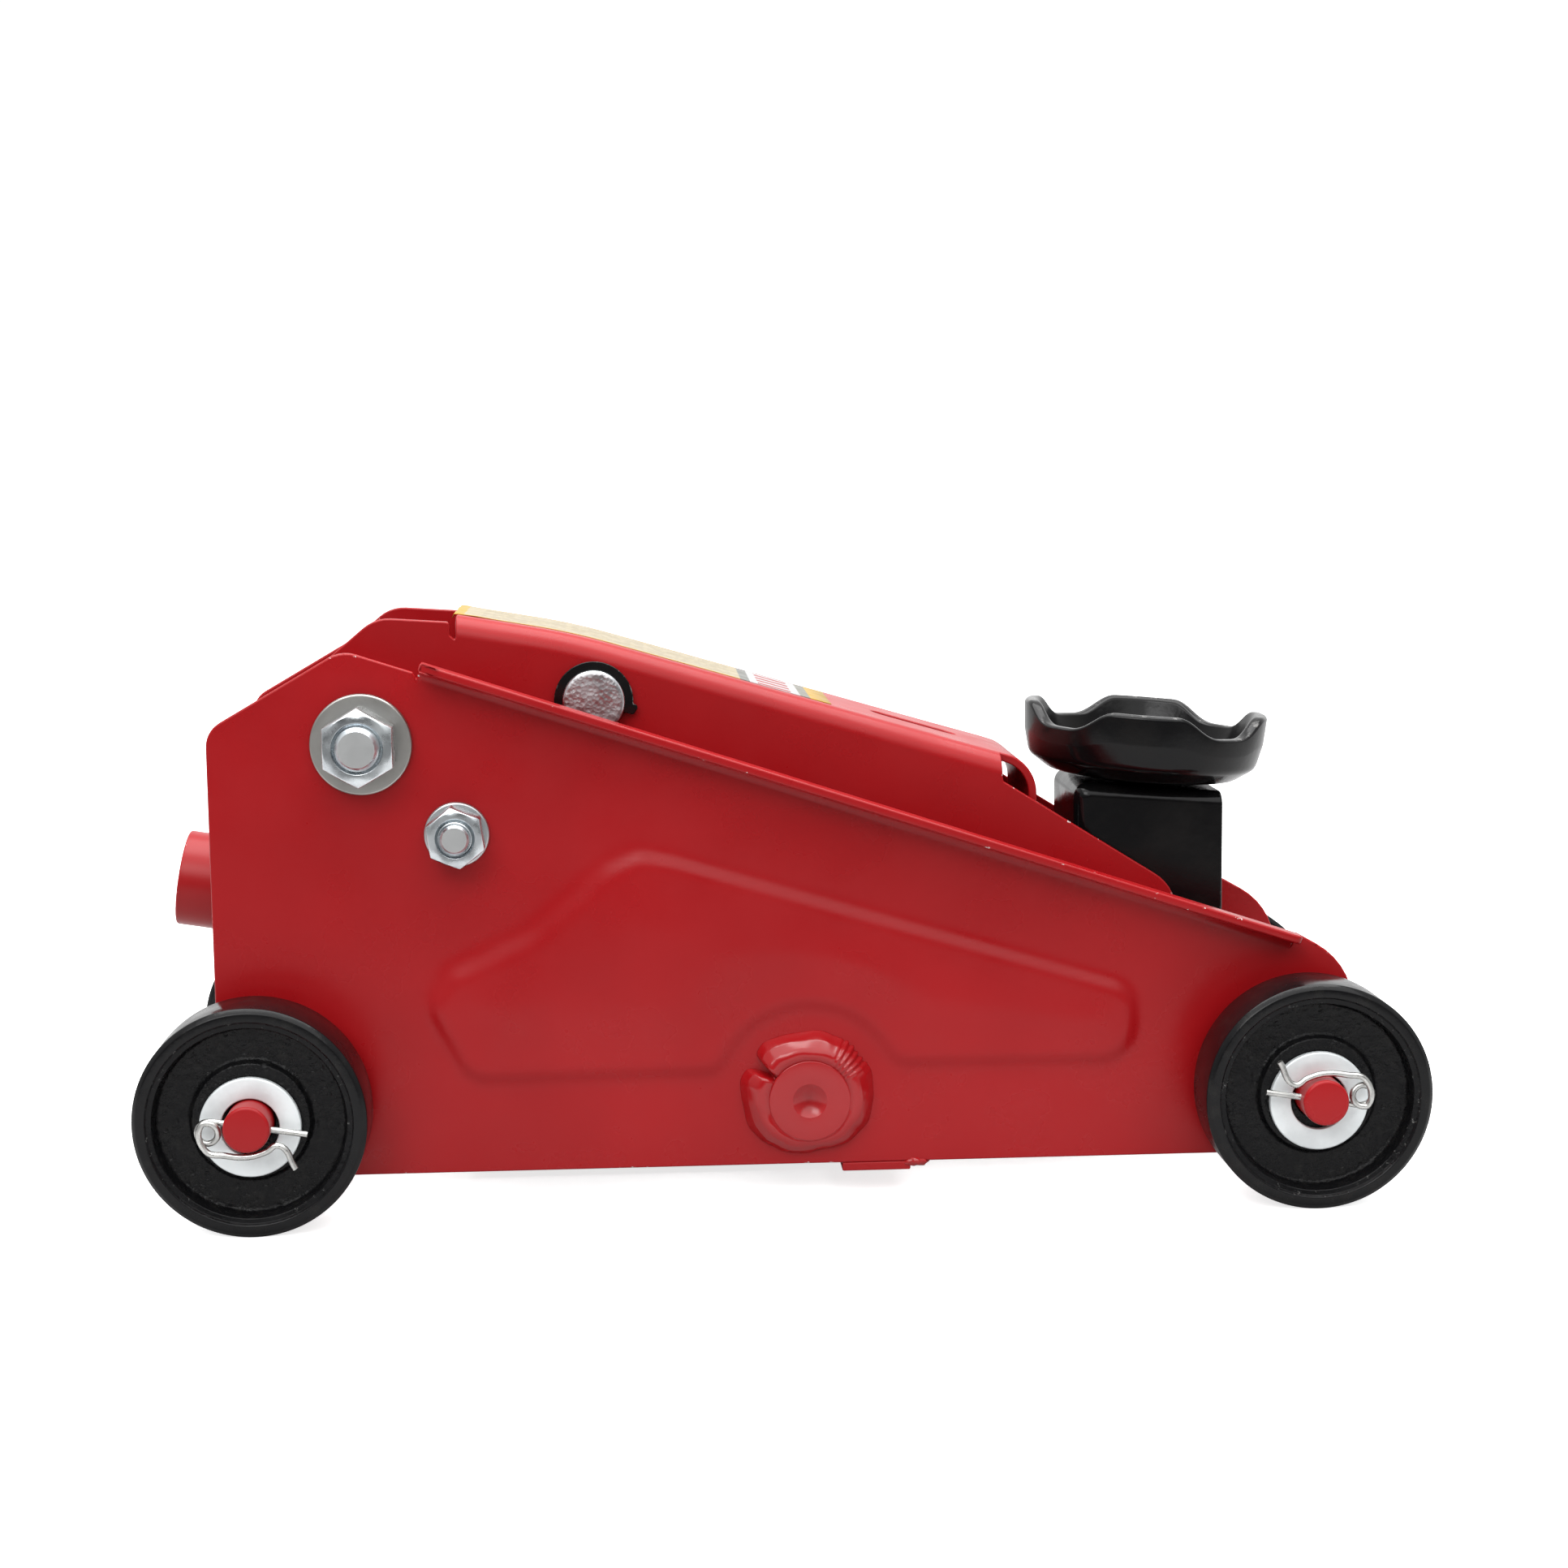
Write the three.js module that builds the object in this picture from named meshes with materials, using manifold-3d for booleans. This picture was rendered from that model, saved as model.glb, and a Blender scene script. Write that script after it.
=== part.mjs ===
// Low-profile hydraulic trolley jack with a short handle socket, millimetres.
// +X runs from the handle socket to the saddle, +Y to the left side, +Z up.
// The origin is on the floor, midway between the axles and between the side plates.
import * as THREE from 'three';
import { mergeVertices } from 'three/addons/utils/BufferGeometryUtils.js';
import Module from 'manifold-3d';

const wasm = await Module();
wasm.setup();

// ---- driving dimensions -------------------------------------------------------------------

const WHEELBASE = 370;
const WHEEL_RADIUS = 40;
const SHEET = 3;
const GAP = 0.3;

const PLATE_OUTER = 62.8;
const PLATE_INNER = PLATE_OUTER - SHEET;
const PLATE_BOTTOM = 12.4;
const FLANGE_OUTER = 74.8;
const FLANGE_START = { x: -124.5, z: 194.9 };
const FLANGE_END = { x: 183.7, z: 92.9 };

const REAR_AXLE = { x: -WHEELBASE / 2, z: WHEEL_RADIUS };
const FRONT_AXLE = { x: WHEELBASE / 2, z: WHEEL_RADIUS };
const AXLE_RADIUS = 8;
const AXLE_END = 104;
const CLIP_PLANE = 98.6;
const CLIP_WIRE = 1.1;

const ARM_PIVOT = { x: -146.3, z: 166.2 };
const ARM_TIP = { x: 129, z: 96 };
const LINK_PIVOT = { x: -114, z: 134 };
const LINK_TIP = {
  x: ARM_TIP.x + LINK_PIVOT.x - ARM_PIVOT.x,
  z: ARM_TIP.z + LINK_PIVOT.z - ARM_PIVOT.z,
};
const ARM_OUTER = 35;
const ARM_INNER = ARM_OUTER - SHEET;
const ARM_BOLT_RADIUS = 8;
const LINK_BOLT_RADIUS = 6;
const PIVOT_TUBE_RADIUS = 13;
const LINK_BAR = { inner: 38, outer: 43, halfWidth: 11 };

const TRUNNION = { x: 8.3, z: 37.2 };
const TRUNNION_RADIUS = 14.5;
const TRUNNION_END = PLATE_OUTER + 8;
const RAM_PIN = { x: -65.7, z: 177.5 };
const RAM_PIN_RADIUS = 11.2;

// The bracket's roof leans down to the front, and the saddle sits square on it: the saddle's own
// heights are measured from SADDLE_SEAT along its tilted axis.
const BRACKET = { rear: 109.7, front: 164.4, top: 143.4, halfWidth: 28, wall: 4 };
const SADDLE_TILT = THREE.MathUtils.degToRad(4.5);
const roofHeight = (x) => BRACKET.top - (x - BRACKET.rear) * Math.tan(SADDLE_TILT);
const SADDLE_SEAT = { x: 138.6, z: roofHeight(138.6) };
const SADDLE_RADIUS = 45.5;
const SADDLE_TOP = 27.6;
const SADDLE_VALLEY = 20.1;
const SADDLE_FLOOR = 7.1;
const STEM = { radius: 9, bottom: -14.5 };

const SOCKET = { outer: 17.5, inner: 15, rear: { x: -219.2, z: 110.9 }, length: 55 };
const SOCKET_TILT = THREE.MathUtils.degToRad(9.4);
const YOKE = { inner: 18, outer: 22, hubRadius: 10, hubEnd: 36.5 };
const ROLLER_ARM = 34;
const ROLLER_RADIUS = 7;

// ---- helpers ------------------------------------------------------------------------------

const Y_AXIS = new THREE.Vector3(0, 1, 0);
const jack = new THREE.Group();
jack.name = 'trolley_jack';

// Unit vectors in the XZ plane: along the ram, and square to it toward the front.
const ramReach = Math.hypot(RAM_PIN.x - TRUNNION.x, RAM_PIN.z - TRUNNION.z);
const RAM_DIRECTION = {
  x: (RAM_PIN.x - TRUNNION.x) / ramReach,
  z: (RAM_PIN.z - TRUNNION.z) / ramReach,
};
const RAM_SIDE = { x: RAM_DIRECTION.z, z: -RAM_DIRECTION.x };

// The point a given way along the ram axis from an origin, and a given way to its front side.
function beside(origin, along, across) {
  return [
    origin.x + RAM_DIRECTION.x * along + RAM_SIDE.x * across,
    origin.z + RAM_DIRECTION.z * along + RAM_SIDE.z * across,
  ];
}

function arcPoints(x, z, radius, fromDegrees, toDegrees, stepDegrees = 22.5) {
  const count = Math.max(1, Math.round(Math.abs(toDegrees - fromDegrees) / stepDegrees));
  return Array.from({ length: count + 1 }, (_, i) => {
    const angle = THREE.MathUtils.degToRad(fromDegrees + ((toDegrees - fromDegrees) * i) / count);
    return new THREE.Vector2(x + radius * Math.cos(angle), z + radius * Math.sin(angle));
  });
}

function circle(centre, radius, sides = 16) {
  return arcPoints(centre.x, centre.z, radius, 0, 360, 360 / sides).slice(0, -1);
}

function hexagon(centre, acrossFlats) {
  return arcPoints(centre.x, centre.z, acrossFlats / Math.sqrt(3), 90, 450, 60).slice(0, -1);
}

// One rounded corner between two neighbours: the arc of the given radius tangent to both edges.
function roundedCorner(before, corner, after, radius) {
  const toBefore = before.clone().sub(corner).normalize();
  const toAfter = after.clone().sub(corner).normalize();
  const half = Math.acos(THREE.MathUtils.clamp(toBefore.dot(toAfter), -1, 1)) / 2;
  const bisector = toBefore.clone().add(toAfter).normalize();
  const centre = corner.clone().addScaledVector(bisector, radius / Math.sin(half));
  const first = corner.clone().addScaledVector(toBefore, radius / Math.tan(half)).sub(centre);
  const turn = Math.PI - 2 * half;
  const sign = Math.sign(toAfter.cross(toBefore));
  const count = Math.max(2, Math.round(turn / 0.45));
  const origin = new THREE.Vector2();
  return Array.from({ length: count + 1 }, (_, i) =>
    first.clone().rotateAround(origin, (sign * turn * i) / count).add(centre));
}

// An outline in (x, z). An entry is [x, z], [x, z, fillet radius] or a ready list of points.
function outline(...entries) {
  const isList = (entry) => entry[0] instanceof THREE.Vector2;
  const first = (entry) => (isList(entry) ? entry[0] : new THREE.Vector2(entry[0], entry[1]));
  const last = (entry) => (isList(entry) ? entry.at(-1) : first(entry));
  return entries.flatMap((entry, i) => {
    if (isList(entry)) return entry;
    if (!entry[2]) return [first(entry)];
    const before = last(entries.at(i - 1));
    const after = first(entries[(i + 1) % entries.length]);
    return roundedCorner(before, first(entry), after, entry[2]);
  });
}

// A flat plate with its outline in XZ, between two values of Y.
function slab(points, oneY, otherY, holes = []) {
  const shape = new THREE.Shape(points);
  shape.holes = holes.map((hole) => new THREE.Path(hole));
  const depth = Math.abs(oneY - otherY);
  const geometry = new THREE.ExtrudeGeometry(shape, { depth, steps: 1, bevelEnabled: false });
  geometry.rotateX(Math.PI / 2);
  geometry.translate(0, Math.max(oneY, otherY), 0);
  return geometry;
}

function turned(profile, segments = 16) {
  return new THREE.LatheGeometry(profile.map(([r, y]) => new THREE.Vector2(r, y)), segments);
}

function rod(radius, fromY, toY, chamfer = 0, segments = 16) {
  if (!chamfer) return turned([[0, fromY], [radius, fromY], [radius, toY], [0, toY]], segments);
  return turned([[0, fromY], [radius - chamfer, fromY], [radius, fromY + chamfer],
    [radius, toY - chamfer], [radius - chamfer, toY], [0, toY]], segments);
}

function tube(outer, inner, fromY, toY, segments = 16) {
  return turned([[inner, fromY], [outer, fromY], [outer, toY], [inner, toY], [inner, fromY]], segments);
}

function solidOf(geometry) {
  const bare = geometry.clone();
  bare.deleteAttribute('normal');
  bare.deleteAttribute('uv');
  const merged = mergeVertices(bare, 1e-4);
  const corners = Array.from(merged.index.array);
  const kept = [];
  for (let i = 0; i < corners.length; i += 3) {
    const [a, b, c] = corners.slice(i, i + 3);
    if (a !== b && b !== c && c !== a) kept.push(a, b, c);
  }
  return new wasm.Manifold(new wasm.Mesh({
    numProp: 3,
    vertProperties: new Float32Array(merged.attributes.position.array),
    triVerts: new Uint32Array(kept),
  }));
}

function geometryOf(solid) {
  const { vertProperties, triVerts } = solid.getMesh();
  const geometry = new THREE.BufferGeometry();
  geometry.setAttribute('position', new THREE.BufferAttribute(vertProperties, 3));
  geometry.setIndex(new THREE.BufferAttribute(triVerts, 1));
  geometry.computeVertexNormals();
  return geometry;
}

function join(...geometries) {
  return geometryOf(geometries.map(solidOf).reduce((whole, next) => whole.add(next)));
}

function cut(geometry, ...tools) {
  return geometryOf(tools.map(solidOf).reduce((rest, tool) => rest.subtract(tool), solidOf(geometry)));
}

const FINISHES = {
  redEnamel: { color: 0xa6262c, roughness: 0.35, metalness: 0.0 },
  blackEnamel: { color: 0x0d0d0f, roughness: 0.3, metalness: 0.0 },
  castBlack: { color: 0x101012, roughness: 0.5, metalness: 0.1 },
  brightZinc: { color: 0xc8d0d2, roughness: 0.28, metalness: 0.9 },
  dullZinc: { color: 0xb4b4b0, roughness: 0.5, metalness: 0.8 },
  springSteel: { color: 0x8c8c8a, roughness: 0.35, metalness: 0.9 },
  oilBlack: { color: 0x1a1918, roughness: 0.45, metalness: 0.5 },
  nylon: { color: 0x20201f, roughness: 0.6, metalness: 0.0 },
};

function part(name, geometry, finish, place = { x: 0, z: 0 }) {
  const mesh = new THREE.Mesh(geometry, new THREE.MeshStandardMaterial(FINISHES[finish]));
  mesh.name = name;
  mesh.position.set(place.x, 0, place.z);
  jack.add(mesh);
  return mesh;
}

// A turned piece whose own axis lies along the ram direction, measured from an origin.
function partAlongRam(name, geometry, finish, origin) {
  const mesh = part(name, geometry, finish, origin);
  mesh.quaternion.setFromUnitVectors(Y_AXIS, new THREE.Vector3(RAM_DIRECTION.x, 0, RAM_DIRECTION.z));
  return mesh;
}

const SIDES = [['right', -1], ['left', 1]];

// ---- frame --------------------------------------------------------------------------------

// Fillet of weld metal around the trunnion, grown from the outer face of the plate.
function trunnionWeld(side) {
  const root = PLATE_OUTER;
  const inner = TRUNNION_RADIUS + GAP;
  const geometry = turned([[inner, root - 1], [21, root - 1], [20.5, root + 2], [17.5, root + 5.5],
    [inner, root + 6], [inner, root - 1]]);
  if (side < 0) geometry.rotateX(Math.PI);
  return geometry.translate(TRUNNION.x, 0, TRUNNION.z);
}

// Pressed side plate: a flat web with a flange turned outward along its sloping top edge.
function sidePlate(side) {
  const slope = (FLANGE_END.z - FLANGE_START.z) / (FLANGE_END.x - FLANGE_START.x);
  const flangeDrop = SHEET * Math.hypot(1, slope);
  const web = outline(
    [-200, PLATE_BOTTOM, 14], [-200, 171.5, 10], [-152.4, 198.9, 12], [FLANGE_START.x, 189.8],
    [FLANGE_START.x, FLANGE_START.z], [FLANGE_END.x, FLANGE_END.z], [205, 80.4, 28],
    [205, PLATE_BOTTOM, 14],
  );
  const holes = [
    circle(REAR_AXLE, AXLE_RADIUS + GAP), circle(FRONT_AXLE, AXLE_RADIUS + GAP),
    circle(ARM_PIVOT, ARM_BOLT_RADIUS + GAP), circle(LINK_PIVOT, LINK_BOLT_RADIUS + GAP),
    circle(TRUNNION, TRUNNION_RADIUS + GAP),
  ];
  const flange = outline(
    [FLANGE_START.x, FLANGE_START.z], [FLANGE_END.x, FLANGE_END.z],
    [FLANGE_END.x, FLANGE_END.z - flangeDrop], [FLANGE_START.x, FLANGE_START.z - flangeDrop],
  );
  return join(
    slab(web, side * PLATE_INNER, side * PLATE_OUTER, holes),
    slab(flange, side * PLATE_INNER, side * FLANGE_OUTER),
    trunnionWeld(side),
  );
}

function trunnionShaft() {
  const end = TRUNNION_END;
  return turned([[0, -end + 4.5], [5.8, -end], [TRUNNION_RADIUS, -end],
    [TRUNNION_RADIUS, end], [5.8, end], [0, end - 4.5]]);
}

function buildFrame() {
  for (const [word, side] of SIDES) {
    part(`side_plate_${word}`, sidePlate(side), 'redEnamel');
  }
  part('trunnion_shaft', trunnionShaft(), 'redEnamel', TRUNNION);
  const bar = outline([20.2, PLATE_BOTTOM - GAP], [44.7, PLATE_BOTTOM - GAP], [44.7, 9.3], [20.2, 9.3]);
  part('bottom_cross_bar', slab(bar, -PLATE_OUTER, PLATE_OUTER), 'redEnamel');
  const tubeEnd = PLATE_INNER - GAP;
  part('rear_axle_tube', tube(11, AXLE_RADIUS + GAP, -tubeEnd, tubeEnd), 'redEnamel', REAR_AXLE);
  part('front_axle_tube', tube(11, AXLE_RADIUS + GAP, -tubeEnd, tubeEnd), 'redEnamel', FRONT_AXLE);
}

// ---- axles, wheels and their clips --------------------------------------------------------

function axle(holeDegrees) {
  const tools = SIDES.map(([, side]) => {
    const drill = rod(CLIP_WIRE + 0.5, -15, 15, 0, 10);
    drill.rotateZ(Math.PI / 2);
    drill.rotateY(-THREE.MathUtils.degToRad(holeDegrees));
    drill.translate(0, side * CLIP_PLANE, 0);
    return drill;
  });
  return cut(rod(AXLE_RADIUS, -AXLE_END, AXLE_END, 1), ...tools);
}

// Cast wheel: a raised rim ring with a small step, a recessed web and a hub boss.
function wheel(side) {
  const rim = 95.9;
  const inside = 71;
  const hub = { inner: 63.8, outer: 91, radius: 20 };
  const bore = AXLE_RADIUS + GAP;
  const geometry = turned([
    [bore, hub.inner], [17, hub.inner], [17.5, 75], [31, 76], [33.5, inside], [38.5, inside],
    [WHEEL_RADIUS, 72.5], [WHEEL_RADIUS, rim - 1.5], [38.5, rim], [35.2, rim],
    [32.8, rim - 1.2], [32, 88.6], [21, 88.2], [hub.radius, hub.outer], [bore, hub.outer],
    [bore, hub.inner],
  ], 24);
  if (side < 0) geometry.rotateX(Math.PI);
  return geometry;
}

// Spring R-clip: a straight leg through the axle, one coil, and a leg that hugs the axle.
function clip(side, end) {
  const mirror = end === REAR_AXLE ? 1 : -1;
  const coil = { x: -13.5, z: -1.6, radius: 3.6, sweep: Math.PI * 2.15 };
  const wrapLift = 2 * CLIP_WIRE + GAP;
  const straightLeg = [[20, -3.2, 0], [10, -1.6, 0], [0, 0, 0], [-8, 1.3, 0]];
  const wrap = Array.from({ length: 13 }, (_, i) => {
    const share = i / 12;
    const angle = Math.PI / 2 + share * coil.sweep;
    return [coil.x + coil.radius * Math.cos(angle), coil.z + coil.radius * Math.sin(angle), share * wrapLift];
  });
  const outerLeg = [[-14, -7.6], [-8, -9.2], [0, -9.9], [6, -8.4], [10.5, -6.2], [16, -14.5]];
  const points = [...straightLeg, ...wrap, ...outerLeg.map(([x, z]) => [x, z, wrapLift])];
  const place = ([x, z, lift]) =>
    new THREE.Vector3(mirror * x, side * (CLIP_PLANE + lift), mirror * z);
  const curve = new THREE.CatmullRomCurve3(points.map(place));
  const wire = new THREE.Shape(arcPoints(0, 0, CLIP_WIRE, 0, 360, 72).slice(0, -1));
  return new THREE.ExtrudeGeometry(wire, { steps: 38, extrudePath: curve });
}

function buildRunningGear() {
  const slant = 9;
  part('rear_axle', axle(-slant), 'redEnamel', REAR_AXLE);
  part('front_axle', axle(-slant), 'redEnamel', FRONT_AXLE);
  for (const [end, place] of [['rear', REAR_AXLE], ['front', FRONT_AXLE]]) {
    for (const [word, side] of SIDES) {
      part(`${end}_wheel_${word}`, wheel(side), 'castBlack', place);
      const washer = tube(17.4, 10, side * 92.6 - 1.25, side * 92.6 + 1.25);
      part(`${end}_wheel_washer_${word}`, washer, 'dullZinc', { x: place.x, z: place.z - 1.6 });
      part(`${end}_wheel_clip_${word}`, clip(side, place), 'springSteel', place);
    }
  }
}

// ---- bolts --------------------------------------------------------------------------------

// A hexagon-head bolt through both plates: head and its washer on the left, nut on the right.
function buildBolt(prefix, place, size) {
  const face = PLATE_OUTER + GAP;
  const seat = face + size.washer + GAP;
  const shank = rod(size.radius, -(seat + size.nut + size.proud), seat + 1, 0);
  const head = slab(hexagon({ x: 0, z: 0 }, size.flats), seat, seat + size.head);
  part(`${prefix}_bolt`, join(shank, head), 'brightZinc', place);
  const nutHole = circle({ x: 0, z: 0 }, size.radius + GAP);
  const nut = slab(hexagon({ x: 0, z: 0 }, size.flats), -seat, -seat - size.nut, [nutHole]);
  part(`${prefix}_nut`, nut, 'brightZinc', place);
  for (const [word, side] of SIDES) {
    const washer = tube(size.washerRadius, size.radius + GAP, face, face + size.washer);
    if (side < 0) washer.rotateX(Math.PI);
    part(`${prefix}_washer_${word}`, washer, 'dullZinc', place);
  }
}

function buildBolts() {
  buildBolt('arm_pivot', ARM_PIVOT,
    { radius: ARM_BOLT_RADIUS, flats: 24, washer: 2.8, washerRadius: 17.7, nut: 13, head: 10, proud: 3 });
  buildBolt('link_pivot', LINK_PIVOT,
    { radius: LINK_BOLT_RADIUS, flats: 19, washer: 2.2, washerRadius: 11.4, nut: 10, head: 7.5, proud: 3 });
}

// ---- lift arm and its parallel links ------------------------------------------------------

// Folded arm: two cheeks joined by a cover that stops short of both ends, where its front
// curls down between the cheeks as a lip.
function liftArm() {
  const coverRear = -114.4;
  const coverFront = 82;
  const curl = { x: 80.3, z: 140.2, outer: 15, end: 133, halfWidth: 24 };
  const cheek = outline(
    [-143, 208.2, 14], [coverRear, 206.2], [coverRear, 208.5], [-74, 201.5], [coverFront, 155.3],
    [coverFront, 145.4, 3],
    arcPoints(ARM_TIP.x, ARM_TIP.z, 17, 58, -104.3),
    [-78.5, 128.3, 10], [-100.5, 143.1, 10], [-122, 147.4],
    arcPoints(ARM_PIVOT.x, ARM_PIVOT.z, 26, -52, -200),
    [-159.5, 194.4],
  );
  const holes = [
    circle(ARM_PIVOT, PIVOT_TUBE_RADIUS + GAP), circle(RAM_PIN, RAM_PIN_RADIUS + GAP),
    circle(ARM_TIP, ARM_BOLT_RADIUS + GAP),
  ];
  const cover = outline(
    [coverRear, 208.5], [-74, 201.5], [coverFront, 155.3],
    [coverFront, 155.3 - SHEET], [-74, 201.5 - SHEET], [coverRear, 208.5 - SHEET],
  );
  const lip = outline(
    [coverFront - 1, 155.3], arcPoints(curl.x, curl.z, curl.outer, 73.5, 0, 15),
    [curl.x + curl.outer, curl.end], [curl.x + curl.outer - SHEET, curl.end],
    arcPoints(curl.x, curl.z, curl.outer - SHEET, 0, 73.5, 15), [coverFront - 1, 155.3 - SHEET],
  );
  const slot = outline(
    arcPoints(66, 0, 5, -90, 90, 30), arcPoints(42, 0, 5, 90, 270, 30),
  );
  const slotTool = new THREE.ExtrudeGeometry(new THREE.Shape(slot),
    { depth: 40, steps: 1, bevelEnabled: false });
  slotTool.translate(0, 0, 145);
  const whole = join(
    slab(cheek, ARM_INNER, ARM_OUTER, holes),
    slab(cheek, -ARM_INNER, -ARM_OUTER, holes),
    slab(cover, -ARM_INNER - 1, ARM_INNER + 1),
    slab(lip, -curl.halfWidth, curl.halfWidth),
  );
  return cut(whole, slotTool);
}

// Pin with a groove at each end for its retaining ring.
function ramPin() {
  const end = 41.5;
  const groove = { from: 36.1, to: 38.1, radius: RAM_PIN_RADIUS - 1 };
  const half = [[groove.radius, groove.from], [groove.radius, groove.to],
    [RAM_PIN_RADIUS, groove.to], [RAM_PIN_RADIUS, end - 1], [RAM_PIN_RADIUS - 1, end], [0, end]];
  const mirrored = half.map(([r, y]) => [r, -y]).reverse();
  return turned([...mirrored, [RAM_PIN_RADIUS, -groove.from], [RAM_PIN_RADIUS, groove.from], ...half]);
}

// Open retaining ring with two lugs beside its gap.
function retainingRing(side) {
  const ring = outline(
    arcPoints(0, 0, 14.2, -20, -300, 20), arcPoints(0, 0, 17, -302, -312, 10),
    arcPoints(0, 0, 10.5, -312, -8, 20), arcPoints(0, 0, 17, -8, -18, 10),
  );
  return slab(ring, side * 36.4, side * 37.8);
}

function linkBar(side) {
  const bar = outline(
    arcPoints(LINK_PIVOT.x, LINK_PIVOT.z, LINK_BAR.halfWidth, 75.7, 255.7),
    arcPoints(LINK_TIP.x, LINK_TIP.z, LINK_BAR.halfWidth, 255.7, 435.7),
  );
  const holes = [circle(LINK_PIVOT, LINK_BOLT_RADIUS + GAP), circle(LINK_TIP, LINK_BOLT_RADIUS + GAP)];
  return slab(bar, side * LINK_BAR.inner, side * LINK_BAR.outer, holes);
}

function buildArm() {
  part('lift_arm', liftArm(), 'redEnamel');
  const tubeEnd = PLATE_INNER - GAP;
  part('arm_pivot_tube', tube(PIVOT_TUBE_RADIUS, ARM_BOLT_RADIUS + GAP, -tubeEnd, tubeEnd), 'redEnamel', ARM_PIVOT);
  part('ram_pin', ramPin(), 'dullZinc', RAM_PIN);
  part('saddle_bracket_pin', rod(ARM_BOLT_RADIUS, -37.2, 37.2, 0.8), 'dullZinc', ARM_TIP);
  part('link_front_pin', rod(LINK_BOLT_RADIUS, -45.5, 45.5, 0.8), 'dullZinc', LINK_TIP);
  for (const [word, side] of SIDES) {
    part(`ram_pin_ring_${word}`, retainingRing(side), 'blackEnamel', RAM_PIN);
    part(`link_bar_${word}`, linkBar(side), 'blackEnamel');
    const spacer = tube(10, LINK_BOLT_RADIUS + GAP, LINK_BAR.outer + 0.4, PLATE_INNER - GAP);
    if (side < 0) spacer.rotateX(Math.PI);
    part(`link_spacer_${word}`, spacer, 'dullZinc', LINK_PIVOT);
  }
}

// ---- saddle and its bracket ---------------------------------------------------------------

// Stands a piece turned about Y on the saddle's tilted axis.
function onSaddleAxis(geometry) {
  geometry.rotateX(Math.PI / 2);
  geometry.rotateY(SADDLE_TILT);
  return geometry;
}

// Box-shaped bracket: two cheeks, a rear wall and a sloping roof with the saddle's hole.
function saddleBracket() {
  const { rear, front, top, halfWidth, wall } = BRACKET;
  const frontTop = roofHeight(front);
  const cheek = outline(
    [rear, top], [front, frontTop], [front, 92, 20],
    arcPoints(LINK_TIP.x, LINK_TIP.z, 12, 10, -120), [rear, 84, 10],
  );
  const holes = [circle(ARM_TIP, ARM_BOLT_RADIUS + GAP), circle(LINK_TIP, LINK_BOLT_RADIUS + GAP)];
  const roof = outline([rear, top], [front, frontTop], [front, frontTop - wall], [rear, top - wall]);
  const back = outline(
    [rear, top], [rear + wall, roofHeight(rear + wall)], [rear + wall, 112], [rear, 112],
  );
  const stemHole = onSaddleAxis(rod(STEM.radius + 0.4, -20, 20));
  stemHole.translate(SADDLE_SEAT.x, 0, SADDLE_SEAT.z);
  const whole = join(
    slab(cheek, halfWidth - wall, halfWidth, holes),
    slab(cheek, wall - halfWidth, -halfWidth, holes),
    slab(roof, -halfWidth, halfWidth),
    slab(back, -halfWidth, halfWidth),
  );
  return cut(whole, stemHole);
}

// Cast saddle cup with four flat-topped lobes, its stem turned in the bracket.
function saddle() {
  const rimFoot = SADDLE_VALLEY - 1;
  const geometry = turned([
    [0, STEM.bottom], [STEM.radius, STEM.bottom], [STEM.radius, GAP], [20, GAP], [36, 3.1], [42, 8.1],
    [44.6, rimFoot], [SADDLE_RADIUS, SADDLE_TOP], [40.5, SADDLE_TOP], [38, rimFoot], [33.5, 12.6],
    [26, SADDLE_FLOOR], [0, SADDLE_FLOOR],
  ], 32);
  const position = geometry.attributes.position;
  for (let i = 0; i < position.count; i += 1) {
    if (position.getY(i) > SADDLE_TOP - 0.01) {
      const angle = Math.atan2(position.getX(i), position.getZ(i));
      const lobe = THREE.MathUtils.smoothstep(Math.cos(4 * angle), -0.98, 0.62);
      position.setY(i, THREE.MathUtils.lerp(SADDLE_VALLEY + 1, SADDLE_TOP, lobe));
    }
  }
  return onSaddleAxis(geometry);
}

function buildSaddle() {
  part('saddle_bracket', saddleBracket(), 'blackEnamel');
  part('saddle', saddle(), 'blackEnamel', SADDLE_SEAT);
  const ring = onSaddleAxis(tube(13.5, STEM.radius + GAP, -8.9, -6.9, 20));
  part('saddle_clip', ring, 'springSteel', SADDLE_SEAT);
}

// ---- hydraulic power unit -----------------------------------------------------------------

const SEAT = 24;
const RESERVOIR = { outer: 27, inner: 24, top: 100 };
const ROD_RADIUS = 12;
const HEAD = { bottom: 136.3, thickness: 9 };
const SPRING = { across: -34, side: 13, radius: 6, from: SEAT + 0.6, to: HEAD.bottom - GAP };
const PUMP = {
  x: LINK_PIVOT.x - ROLLER_ARM * RAM_SIDE.x,
  z: LINK_PIVOT.z - ROLLER_ARM * RAM_SIDE.z,
};
const PUMP_SEAT = -78;
const PUMP_TOP = -32;

// Cast base: the trunnion boss, the seat of the reservoir and the seat of the pump in one block.
function powerBlock() {
  const [pumpSeatX, pumpSeatZ] = beside(PUMP, PUMP_SEAT, -14);
  const body = outline(
    [pumpSeatX, pumpSeatZ, 3], beside(PUMP, PUMP_SEAT, 13), beside(TRUNNION, SEAT, -43),
    [...beside(TRUNNION, SEAT, 30), 3], [33, 40, 8], [30, 14.5, 6], [-122, 14.5, 5],
  );
  return slab(body, -28, 28, [circle(TRUNNION, TRUNNION_RADIUS + GAP)]);
}

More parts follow.
